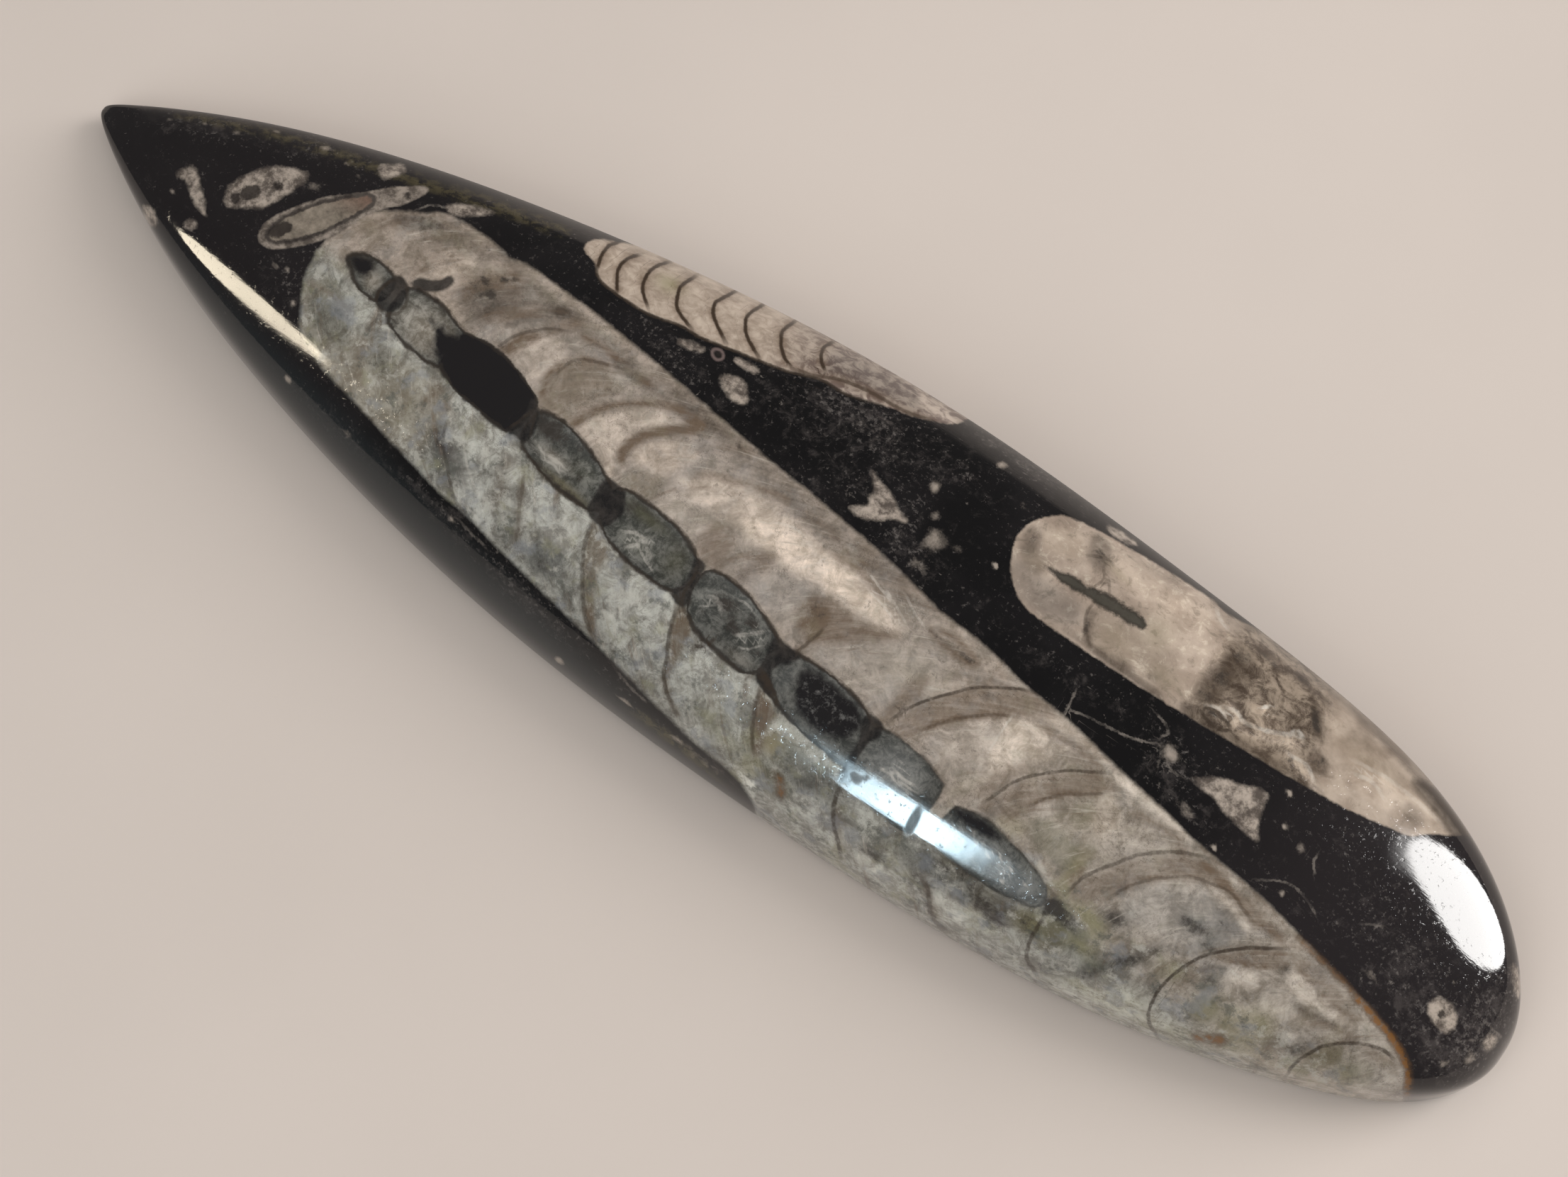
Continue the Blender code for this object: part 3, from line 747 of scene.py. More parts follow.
# Dark pits and blotches of the shells: u, v, half length, half width, tilt, strength
DARK_SPOTS = (
    (620, -122, 6, 4, -30, 0.9), (608, -113, 7, 5, 0, 0.8), (605, -86, 11, 7, -10, 0.9),
    (592, -76, 5, 4, 0, 0.6), (588, -98, 6, 5, 0, 0.5), (564, -138, 6, 5, 0, 0.4),
    (580, -92, 14, 22, 15, 0.35), (655, -34, 9, 6, 0, 0.4), (808, -104, 5, 4, 0, 0.5),
    (826, -112, 5, 4, 0, 0.4), (1014, -103, 8, 4, -20, 0.6), (535, 85, 18, 14, 0, 0.35),
    (560, 102, 12, 8, 0, 0.3), (440, 55, 14, 10, 30, 0.3), (462, 80, 12, 8, 0, 0.3),
    (665, 128, 14, 9, 0, 0.4), (690, 140, 12, 7, 10, 0.35), (740, 120, 8, 16, 0, 0.25),
    (875, 190, 26, 8, 10, 0.35), (905, 176, 10, 12, 0, 0.25), (1122, 152, 6, 8, 30, 0.5),
    (1345, -52, 6, 14, 60, 0.3), (1395, -38, 16, 6, 0, 0.5), (1446, -36, 20, 5, -6, 0.6),
    (1235, 26, 18, 20, 0, 0.35), (1240, 82, 5, 14, 0, 0.4), (1500, 45, 20, 12, -45, 0.2),
    (1495, 269, 22, 6, 0, 0.6), (1600, 216, 34, 7, 0, 0.3), (1668, 240, 26, 9, 5, 0.3),
    (1728, 228, 12, 12, 0, 0.3), (1882, 184, 16, 8, -35, 0.3), (1838, 238, 20, 7, -48, 0.5),
    (1826, 152, 30, 10, -8, 0.4), (1930, 100, 30, 12, 0, 0.42), (1962, 112, 16, 8, -12, 0.35),
    (1984, 148, 10, 18, 20, 0.4), (2068, 76, 7, 10, 0, 0.4), (1990, 44, 20, 5, 12, 0.2),
    (2142, 166, 7, 20, 18, 0.4), (2205, 160, 14, 8, -30, 0.3), (428, -20, 12, 9, -20, 0.9),
    (445, -10, 8, 6, 0, 0.4), (545, -36, 6, 4, 0, 0.8), (530, -12, 5, 4, 0, 0.7),
    (563, -25, 6, 5, 0, 0.7), (514, 22, 9, 5, 20, 0.5), (1898, 160, 16, 8, -45, 0.5),
    (1868, 196, 22, 9, -50, 0.45), (1916, 100, 16, 8, 0, 0.35), (1636, 214, 26, 7, 0, 0.3),
    (1694, 246, 12, 6, 0, 0.4), (1724, 222, 12, 12, 0, 0.25), (578, 34, 8, 5, 0, 0.4),
    (852, 58, 6, 5, 0, 0.7), (838, 44, 6, 6, 0, 0.4), (800, 78, 26, 5, 8, 0.6),
    (850, 86, 34, 5, 4, 0.7), (770, 60, 10, 6, 45, 0.5), (780, 25, 26, 17, 12, 0.9),
    (830, 24, 14, 6, 20, 0.4), (960, 44, 40, 7, 4, 0.4), (1024, 62, 18, 8, 30, 0.4),
    (1036, 92, 8, 14, 0, 0.35), (936, 60, 8, 14, 0, 0.4), (1122, 90, 22, 10, 0, 0.8),
    (1148, 112, 18, 10, 10, 0.7), (1170, 92, 15, 9, 20, 0.7), (1195, 122, 9, 8, 0, 0.5),
    (1100, 118, 9, 7, 0, 0.35), (1140, 140, 16, 5, 5, 0.35), (1925, 143, 16, 3, -22, 0.4),
    (1640, 230, 44, 9, 6, 0.4), (1668, 247, 26, 7, 6, 0.45), (1580, 228, 20, 7, 0, 0.35),
    (1560, 262, 12, 8, 50, 0.45), (1590, 282, 16, 5, 40, 0.35), (1480, 236, 24, 7, 0, 0.25),
    (1772, 266, 18, 6, 10, 0.35), (2008, 150, 18, 7, 10, 0.25), (2060, 172, 18, 6, 0, 0.25),
    (1955, 74, 14, 9, 20, 0.3), (1770, 191, 32, 12, 4, 0.6), (1768, -255, 16, 12, 0, 0.5),
    (1760, -210, 14, 18, 0, 0.55), (1755, -180, 12, 8, 0, 0.5), (1780, -166, 22, 5, 0, 0.6),
    (1806, -272, 26, 5, 8, 0.4), (1850, -277, 28, 5, 8, 0.5), (1905, -238, 18, 6, 50, 0.9),
    (1944, -192, 14, 11, 0, 0.5), (1905, -172, 8, 6, 0, 0.5), (1820, -234, 14, 6, 20, 0.35),
    (1520, -262, 15, 11, 20, 0.45), (1430, -225, 8, 17, 0, 0.4), (1510, -282, 12, 5, 0, 0.3),
    (1562, -168, 6, 17, -22, 0.45), (2090, -202, 9, 7, 0, 0.3), (1676, -160, 6, 6, 0, 0.5),
    (1800, -222, 10, 5, 0, 0.3), (1860, -246, 12, 7, 0, 0.3), (1746, 184, 16, 11, 0, 0.7),
    (1740, 200, 8, 10, 0, 0.4), (1408, 190, 14, 9, 0, 0.7), (1425, 186, 8, 6, 0, 0.5),
    (1440, 150, 12, 8, 0, 0.3), (1480, 186, 14, 8, 0, 0.3), (1590, 150, 36, 8, 4, 0.5),
    (1650, 162, 18, 6, 10, 0.3), (1640, 200, 30, 5, 0, 0.3), (1712, 186, 8, 10, 0, 0.3),
)
# Worn spots that hardly shine: u, v, half length, half width, tilt, strength
WORN_SPOTS = (
    (1513, 198, 28, 8, 82, 1), (1411, 192, 12, 7, 20, 1), (1424, 183, 8, 5, -20, 0.8),
    (1404, 206, 6, 5, 0, 0.6), (1560, 205, 8, 4, 0, 0.4), (2200, -168, 40, 3, 42, 0.25),
    (340, 112, 200, 28, 10, 0.36), (2110, -140, 60, 40, 30, 0.32),
)
# Short pale cracks and glints in the shells: strength, half width, points
GLINTS = (
    (0.33, 1.8, ((1268, -58), (1290, -50), (1316, -42))),
    (0.39, 1.8, ((1300, -52), (1322, -42), (1350, -28))),
    (0.33, 1.8, ((1326, -62), (1350, -48), (1372, -40))),
    (0.33, 1.8, ((1282, -36), (1300, -34), (1330, -24))),
    (0.33, 1.8, ((1546, -5), (1545, 25), (1547, 60))),
    (0.26, 1.8, ((1112, -42), (1140, -52), (1162, -50))),
    (0.26, 1.8, ((1180, -8), (1196, -28), (1204, -44))),
    (0.32, 3, ((946, 86), (966, 78), (982, 84), (1000, 98))),
    (0.37, 3, ((960, 104), (972, 90), (980, 74))),
    (0.33, 1.8, ((975, 92), (996, 104), (1012, 110))),
    (0.32, 3, ((1092, 98), (1108, 92), (1122, 104))),
    (0.33, 1.8, ((1096, 112), (1106, 104), (1118, 96))),
    (0.32, 3, ((1158, 120), (1176, 106), (1190, 92))),
    (0.33, 1.8, ((1172, 130), (1184, 126), (1196, 112))),
    (0.26, 1.8, ((1130, 76), (1148, 74), (1166, 80))),
    (0.33, 1.8, ((1440, 158), (1462, 164), (1488, 168))),
    (0.33, 1.8, ((1446, 136), (1456, 138))),
    (0.26, 1.8, ((1286, 122), (1296, 130), (1310, 128))),
    (0.33, 1.8, ((1308, 148), (1316, 156), (1330, 152))),
    (0.26, 1.8, ((1338, 120), (1350, 130), (1348, 144))),
    (0.33, 1.8, ((1562, 170), (1572, 176))),
    (0.4, 3, ((1786, -182), (1804, -186), (1822, -180), (1850, -186), (1876, -196),
     (1896, -207))),
    (0.5, 4, ((1884, -200), (1892, -211), (1904, -206))),
    (0.35, 3, ((1896, -178), (1930, -178), (1952, -164))),
    (0.8, 2.6, ((1832, -212), (1838, -217))),
    (0.3, 3, ((1990, -206), (2020, -211), (2050, -200))),
    (0.28, 3, ((1980, -222), (2040, -227), (2100, -222), (2140, -214))),
    (0.45, 2.4, ((1766, -172), (1784, -176), (1798, -170))),
    (0.4, 3, ((1700, -290), (1716, -280), (1730, -276))),
    (0.6, 2.2, ((1586, 160), (1592, 162))),
    (0.6, 2.2, ((1600, 172), (1606, 173))),
    (0.6, 2.2, ((1622, 176), (1630, 180))),
    (0.6, 2.2, ((1640, 168), (1645, 171))),
    (0.6, 2.2, ((1664, 176), (1671, 179))),
    (0.5, 2.2, ((1690, 182), (1695, 184))),
    (0.5, 2.2, ((1570, 150), (1577, 152))),
    (0.5, 2.2, ((1660, 196), (1668, 198))),
    (0.5, 2.6, ((1430, 162), (1446, 160), (1460, 164))),
    (0.5, 2.6, ((1452, 152), (1470, 156), (1486, 154))),
    (0.33, 1.8, ((1610, 166), (1618, 170))),
    (0.33, 1.8, ((1652, 188), (1662, 190))),
    (0.26, 1.8, ((776, 52), (792, 58), (812, 56), (830, 60))),
    (0.26, 1.8, ((790, 66), (812, 64), (826, 70))),
    (0.33, 1.8, ((740, 16), (736, 36), (730, 54))),
    (0.26, 1.8, ((746, 22), (750, 40), (756, 52))),
    (0.23, 1.8, ((690, 110), (706, 128), (728, 146), (750, 160))),
    (0.23, 1.8, ((700, 168), (730, 178), (770, 188))),
    (0.23, 1.8, ((1020, 150), (1006, 176), (996, 200))),
    (0.23, 1.8, ((1180, 210), (1200, 196), (1222, 190))),
    (0.26, 1.8, ((1262, 276), (1280, 280), (1296, 282))),
    (0.23, 1.8, ((1270, 190), (1290, 200), (1320, 196))),
    (0.26, 1.8, ((2000, 120), (2024, 122), (2050, 116))),
    (0.23, 1.8, ((1850, 252), (1880, 250), (1920, 244))),
)
# The flank below the great shell, where a greener painted reflection is laid over the black stone
NEAR_FLANK = (
    (26, 1, ((60, 80), (300, 134), (500, 172), (700, 214), (900, 246), (1100, 282), (1290, 312),
     (1300, 350), (1000, 350), (600, 300), (300, 220), (60, 120))),
)
# The far flank, where the polish is duller
FAR_FLANK = (
    (22, 1, ((60, -20), (100, -34), (300, -108), (500, -180), (700, -236), (1000, -278),
     (1250, -286), (1400, -292), (1700, -290), (2000, -262), (2080, -252), (2120, -300),
     (1700, -420), (1000, -420), (400, -280), (40, -90))),
)
# The rusty seam along the wide end of the great shell
RUST = (
    (0.3, 4, ((1850, -2), (1900, 5), (1950, 10), (2000, 18), (2050, 30))),
    (0.6, 6, ((2044, 28), (2100, 38), (2140, 45), (2170, 53))),
    (1, 6.5, ((2160, 50), (2182, 57), (2230, 69), (2262, 81), (2286, 97), (2300, 116),
     (2310, 136))),
    (0.8, 7, ((1318, 248), (1330, 260), (1340, 274))),
    (0.3, 9, ((1304, 244), (1318, 252))),
    (0.9, 9, ((2008, 230), (2024, 220), (2040, 214), (2052, 206))),
    (0.35, 7, ((1746, 112), (1748, 128), (1742, 146))),
)

# ---------------------------------------------------------------- the other fossils
SMALL_SHELL = (
    (675, -220), (680, -230), (688, -237), (700, -243), (720, -252), (750, -264), (800, -284),
    (850, -304), (900, -322), (1000, -352), (1100, -376), (1200, -392), (1250, -380),
    (1266, -340), (1252, -304), (1228, -290), (1196, -277), (1150, -266), (1100, -251),
    (1060, -248), (1030, -238), (1000, -228), (950, -217), (910, -208), (880, -202), (850, -200),
    (820, -192), (790, -187), (735, -187), (715, -192), (706, -200), (700, -205), (690, -208),
    (678, -212),
)
BLUNT_SHELL = (
    (1410, -215), (1412, -235), (1421, -255), (1436, -270), (1450, -280), (1480, -286),
    (1520, -291), (1570, -294), (1620, -297), (1680, -298), (1720, -294), (1760, -300),
    (1850, -330), (2000, -330), (2080, -310), (2140, -280), (2182, -240), (2172, -224),
    (2152, -210), (2132, -199), (2118, -188), (2104, -177), (2080, -172), (2000, -158),
    (1960, -155), (1900, -150), (1850, -148), (1800, -145), (1700, -140), (1600, -138),
    (1500, -139), (1478, -141), (1460, -147), (1446, -157), (1430, -172), (1418, -192),
)
BLUNT_STREAK = (
    ((1462, -205), (1490, -213), (1530, -217), (1570, -222), (1610, -224), (1632, -216),
     (1626, -206), (1590, -204), (1550, -201), (1510, -200), (1480, -200)),
)
# Pale scraps in the black stone
SCRAPS = (
    ((155, 0), (147, 8), (141, 20), (158, 22), (172, 32), (185, 40), (207, 47), (200, 38),
     (195, 30), (184, 22), (175, 13), (164, 4)),
    ((190, 68), (193, 62), (199, 61), (204, 66), (203, 73), (197, 76), (191, 74)),
    ((213, 5), (213, -6), (217, -20), (226, -38), (236, -51), (250, -65), (270, -76), (292, -83),
     (298, -78), (294, -62), (284, -38), (271, -12), (258, 0), (245, 8), (228, 17), (218, 14)),
    ((372, -148), (378, -154), (388, -161), (400, -168), (406, -162), (398, -150), (388, -138),
     (378, -138)),
    ((483, -155), (490, -162), (505, -170), (520, -178), (543, -184), (530, -172), (515, -160),
     (498, -152), (488, -151)),
    ((858, -180), (875, -188), (893, -193), (896, -188), (890, -182), (872, -177)),
    ((1190, -180), (1197, -170), (1204, -162), (1209, -155), (1205, -148), (1211, -140),
     (1203, -130), (1191, -121), (1204, -117), (1222, -121), (1236, -128), (1248, -140),
     (1270, -149), (1250, -156), (1236, -165), (1222, -171), (1206, -174)),
    ((1806, -70), (1815, -80), (1840, -96), (1870, -106), (1906, -116), (1910, -100), (1914, -86),
     (1922, -66), (1931, -52), (1910, -52), (1880, -57), (1850, -66), (1828, -68)),
    ((2260, 3), (2266, -10), (2282, -14), (2298, -6), (2308, 6), (2306, 22), (2294, 26),
     (2276, 20), (2264, 12)),
    ((2355, -4), (2360, -10), (2368, -6), (2369, 6), (2363, 13), (2357, 8)),
    ((2326, -110), (2338, -106), (2348, -96), (2358, -84), (2360, -74), (2350, -80), (2338, -92),
     (2328, -102)),
    ((1507, -300), (1520, -305), (1540, -306), (1556, -304), (1548, -297), (1525, -295)),
    ((128, 84), (140, 80), (150, 88), (158, 96), (150, 102), (136, 96)),
    ((937, -170), (946, -180), (962, -184), (976, -179), (986, -166), (984, -156), (966, -154),
     (948, -160)),
    ((940, -202), (952, -209), (968, -211), (978, -206), (968, -201), (952, -199)),
)
# The long oval ring near the tip: its outer and its inner edge
LONG_OVAL = (
    (283, 22), (288, 33), (298, 37), (312, 33), (322, 26), (345, 5), (370, -25), (383, -52),
    (397, -82), (412, -102), (426, -117), (437, -132), (448, -152), (447, -161), (436, -158),
    (420, -146), (400, -131), (370, -101), (340, -76), (312, -44), (292, -12), (284, 6),
)
LONG_OVAL_INSIDE = (
    (296, 12), (300, 22), (310, 20), (322, 10), (338, -6), (356, -28), (372, -58), (386, -84),
    (392, -100), (384, -104), (366, -90), (344, -68), (322, -42), (304, -12),
)
RINGLETS = (
    ((905, -195), (908, -201), (917, -204), (925, -200), (927, -193), (920, -186), (910, -188)),
)
# Dark hearts inside the pale scraps
SCRAP_HEARTS = (
    ((294, 14), (298, 0), (308, -10), (318, -6), (316, 6), (306, 18), (298, 20)),
    ((230, -10), (236, -24), (248, -30), (253, -20), (248, -8), (238, -2)),
    ((222, 0), (228, -6), (236, 2), (230, 9)),
    ((262, -46), (270, -52), (276, -44), (268, -38)),
    ((2278, 3), (2284, 0), (2290, 6), (2286, 11), (2280, 9)),
    ((912, -195), (917, -198), (921, -195), (917, -191)),
    ((424, -138), (430, -142), (434, -136), (429, -131)),
)
# Thin pale veins and flecks in the black stone: strength, half width, points
PALE_LINES = (
    (0.36, 1.8, ((1600, -82), (1604, -62), (1606, -40))),
    (0.36, 1.8, ((1608, -56), (1630, -62), (1660, -66), (1700, -72), (1735, -84))),
    (0.29, 1.8, ((1705, -122), (1730, -116), (1742, -108), (1736, -96))),
    (0.29, 1.8, ((1745, -86), (1752, -70), (1756, -58))),
    (0.29, 1.8, ((1760, -74), (1775, -66), (1790, -66))),
    (0.25, 1.8, ((1960, -5), (1985, -20), (2010, -27), (2040, -20), (2062, -8))),
    (0.36, 1.8, ((452, -130), (465, -145), (482, -152))),
    (0.29, 1.8, ((2012, -82), (2014, -70), (2024, -58))),
    (0.22, 1.8, ((2120, -38), (2135, -46), (2146, -50))),
    (0.22, 1.8, ((2318, 60), (2326, 68))),
    (0.25, 1.8, ((2340, -20), (2356, -16), (2372, -14))),
    (0.22, 1.8, ((2330, 20), (2345, 8), (2352, -2))),
    (0.22, 1.8, ((745, 203), (770, 209), (800, 214))),
    (0.22, 1.8, ((1050, 256), (1080, 264), (1110, 268))),
)
PALE_DOTS = (
    (1407, -167, 4, 4, 0, 0.9), (1930, -133, 4, 4, 0, 0.8), (1953, -90, 4, 4, 0, 0.8),
    (1885, -10, 4, 4, 0, 0.8), (2000, -10, 4, 4, 0, 0.8), (1275, -211, 8, 8, 0, 0.5),
    (1298, -178, 8, 7, 0, 0.4), (1336, -290, 8, 5, -40, 0.5), (1395, -258, 9, 9, 0, 0.25),
    (1760, -85, 16, 12, 10, 0.5), (1988, -78, 8, 8, 20, 0.3), (2272, -42, 5, 3, -30, 0.4),
    (90, -38, 7, 3, -30, 0.3), (135, -60, 8, 3, -28, 0.3), (180, -75, 8, 4, -25, 0.28),
    (225, -108, 8, 3, -25, 0.3), (297, -128, 14, 4, -25, 0.35), (330, -125, 6, 4, 0, 0.25),
    (355, -120, 6, 4, 0, 0.25), (330, 50, 7, 4, 0, 0.4), (345, 45, 5, 4, 0, 0.4),
    (380, 80, 5, 4, 0, 0.4), (150, 45, 5, 3, 0, 0.4), (435, 175, 6, 4, 0, 0.35),
    (310, -72, 12, 6, -20, 0.25), (1240, -148, 22, 10, 0, 0.3), (1317, -148, 18, 18, 0, 0.42),
    (1350, -156, 8, 6, 0, 0.3), (1315, -108, 20, 12, 0, 0.25), (1820, -30, 18, 12, 10, 0.25),
    (2350, 30, 10, 6, 30, 0.3), (2172, 17, 16, 8, 0, 0.2), (2350, 40, 6, 9, 20, 0.4),
    (2325, 62, 5, 9, 30, 0.4), (1160, -230, 60, 30, -10, 0.12), (1230, 292, 60, 8, 4, 0.2),
    (972, 288, 9, 4, 0, 0.6), (1082, 284, 16, 3, 3, 0.5), (1172, 288, 12, 3, 0, 0.4),
    (545, 190, 10, 5, 20, 0.3), (695, 182, 4, 3, 0, 0.5), (735, 208, 6, 4, 0, 0.5),
    (432, 172, 5, 4, 0, 0.5),
)
# Where the black stone holds more grey specks
SPECK_DENSITY = (
    (1180, -150, 120, 50, 0, 0.5), (1100, -240, 120, 30, -8, 0.5), (900, -150, 80, 18, 5, 0.4),
    (1600, -100, 160, 20, 0, 0.5), (2150, -60, 120, 40, 20, 0.5), (1050, -190, 110, 40, -8, 0.35),
    (1180, -230, 90, 40, -10, 0.5), (1300, -120, 60, 30, 5, 0.6), (1300, -260, 50, 30, 0, 0.5),
    (850, -170, 60, 25, 0, 0.3), (2250, 20, 90, 50, 20, 0.8), (2340, -30, 40, 90, 0, 1),
    (1820, -35, 90, 20, 6, 0.6), (1780, -75, 50, 24, 0, 0.8), (2060, -10, 60, 20, 8, 0.5),
    (2310, 60, 40, 40, 0, 0.5), (350, 60, 50, 20, 30, 0.5), (280, -110, 120, 14, -24, 0.6),
    (120, -50, 80, 14, -28, 0.6), (700, 205, 120, 16, 8, 1), (900, 245, 120, 18, 8, 0.9),
    (500, 190, 90, 16, 14, 0.5), (1130, 292, 90, 12, 3, 1), (1350, -308, 120, 10, 0, 1),
    (600, -200, 60, 16, -12, 0.2),
)
# Which dark bead cores are crossed by pale cracks
BEAD_CRACKS = (
    (1155, 105, 50, 24, 8, 1), (1320, 132, 54, 30, 8, 0.9),
)
# Soft colour in the shells: u, v, half length, half width, tilt, lightness, warmth, olive
SHELL_TONES = (
    # great shell, far half
    (500, -120, 45, 22, -10, -0.1, 0.1, 0), (430, 55, 40, 40, 30, -0.05, -0.3, 0.1),
    (600, -70, 30, 30, 0, -0.22, 0.2, 0), (720, -115, 30, 22, -20, -0.12, 0.1, 0),
    (960, -110, 40, 14, -5, -0.2, 0.2, 0), (1150, -66, 60, 14, -2, -0.12, 0.1, 0),
    (1160, 40, 50, 24, 0, 0.04, -0.1, 0), (1400, 20, 46, 40, -30, 0.02, -0.1, 0.1),
    (1570, 10, 46, 24, -20, 0.12, 0, 0), (1700, 100, 40, 40, -30, 0.04, 0, 0.2),
    (1700, 20, 60, 20, 0, -0.1, 0.1, 0.1), (1440, -34, 40, 7, 6, -0.25, 0.3, 0),
    (1270, -60, 40, 8, 0, -0.12, 0.2, 0), (1740, -12, 20, 8, 0, 0.15, -0.2, 0),
    (1740, 130, 10, 30, 0, -0.05, 0.6, 0.5), (1960, 70, 30, 18, 0, -0.08, -0.5, 0),
    (1925, 95, 24, 12, -10, -0.4, -0.3, 0), (1960, 110, 20, 14, -10, -0.25, -0.2, 0.1),
    (2065, 78, 10, 12, 0, -0.25, 0, 0), (2100, 90, 30, 20, 0, 0.06, 0.1, 0),
    # great shell, near half
    (430, 60, 26, 22, 20, -0.15, -0.3, 0), (530, 80, 26, 20, 0, -0.1, -0.4, 0),
    (660, 125, 26, 14, 10, -0.2, -0.3, 0), (870, 190, 40, 14, 10, -0.15, -0.3, 0.1),
    (1200, 220, 30, 26, 0, -0.05, -0.2, 0.3), (1330, 210, 50, 24, 5, -0.12, -0.3, 0.2),
    (1300, 185, 40, 10, 5, 0.1, 0, 0.1), (1290, 220, 20, 20, 0, 0, 0.4, 0.5),
    (1230, 250, 30, 12, 10, -0.1, 0, 0.6), (1500, 240, 46, 18, 0, 0.05, -0.2, 0.2),
    (1495, 268, 24, 6, 0, -0.35, 0, 0), (1700, 280, 60, 14, 0, 0.05, -0.4, 0),
    (1740, 225, 20, 16, 0, -0.25, 0, 0.6), (1790, 170, 40, 12, 10, -0.05, 0, 0.9),
    (1830, 150, 24, 12, -20, -0.35, -0.2, 0), (1860, 130, 24, 12, 0, 0.1, -0.2, 0),
    (1800, 210, 40, 12, 15, -0.2, 0, 0.7), (1880, 190, 30, 10, -45, -0.4, -0.3, 0.1),
    (1830, 235, 34, 9, -55, -0.35, -0.3, 0.1), (1850, 260, 60, 12, -10, 0.15, -0.2, 0.3),
    (1900, 235, 36, 16, -20, 0.2, -0.1, 0.3), (1930, 170, 20, 16, 0, -0.1, 0.1, 0.5),
    (1985, 150, 14, 24, 20, -0.3, -0.3, 0.1), (2010, 180, 30, 24, 0, 0, -0.2, 0.4),
    (2080, 150, 24, 20, 0, 0, 0, 0.4), (2140, 160, 10, 24, 20, -0.25, -0.2, 0),
    (2080, 200, 50, 14, -10, 0.05, 0, 0.5), (2120, 212, 50, 8, -12, -0.1, -0.2, 0),
    (1990, 235, 40, 12, -12, 0.1, 0, 0.4), (2220, 150, 26, 16, -30, -0.15, 0, 0.7),
    (2260, 140, 24, 14, -30, 0.12, -0.4, 0), (2230, 190, 40, 14, -30, 0.05, -0.2, 0.3),
    # the black stone's near side, where the olive is a painted reflection of the floor
    (1150, 292, 70, 9, 4, 0, 0, 0.9), (1240, 300, 40, 6, 4, 0, 0, 0.4),
    # beads
    (455, -8, 14, 16, 0, 0.6, 0.5, 0), (430, -20, 14, 10, -20, -0.45, 0.4, 0),
    (535, 2, 28, 28, 0, 0.5, -0.1, 0), (560, 30, 24, 8, 5, 0.2, 0.2, 0),
    (570, -20, 16, 14, 0, -0.15, 0, 0), (590, 6, 8, 24, 0, -0.6, 0, 0),
    (545, -35, 5, 4, 0, -0.6, 0, 0), (530, -10, 6, 6, 0, -0.4, 0, 0),
    (495, -8, 10, 16, 0, 0.1, -0.3, 0), (806, 56, 26, 9, 5, 0.8, 0.4, 0),
    (852, 50, 24, 16, 20, 0.3, 0, 0.1), (852, 60, 6, 6, 0, -0.6, 0, 0),
    (836, 45, 10, 12, 0, -0.35, 0, 0), (840, 82, 40, 7, 5, -0.45, 0.3, 0.5),
    (885, 70, 4, 12, 0, 0.4, 0, 0), (972, 90, 30, 18, 5, 0.45, 0, 0.1),
    (960, 50, 40, 10, 5, -0.35, 0, 0.3), (1030, 80, 18, 24, 0, -0.2, 0, 0.2),
    (1098, 98, 16, 20, 0, 0.35, -0.1, 0), (1180, 108, 18, 18, 0, 0.3, 0, 0),
    (1140, 70, 40, 8, 5, 0.2, 0, 0), (1180, 145, 26, 10, 0, 0.15, 0.2, 0),
    (1205, 105, 10, 14, 0, -0.2, 0, 0), (1250, 130, 14, 26, 0, 0.1, -0.3, 0),
    (1340, 175, 50, 8, 5, -0.1, -0.3, 0), (1450, 140, 40, 24, 0, 0.05, -0.3, 0),
    # (1650, 184) is a painted sheen: the cool lamp's soft reflection on bead 9
    (1509, 175, 12, 50, 0, -0.42, 0.1, 0), (1650, 184, 66, 20, 6, 0.45, -0.9, 0),
    (1700, 195, 20, 12, 0, -0.2, -0.2, 0), (1744, 186, 18, 12, 0, -0.4, -0.3, 0),
    # (1455, 165) is a painted sheen: the cool lamp's soft reflection on bead 8
    (550, 4, 44, 30, 0, 0.75, 0.6, 0), (1455, 165, 46, 34, 0, 0.5, -0.7, 0),
)
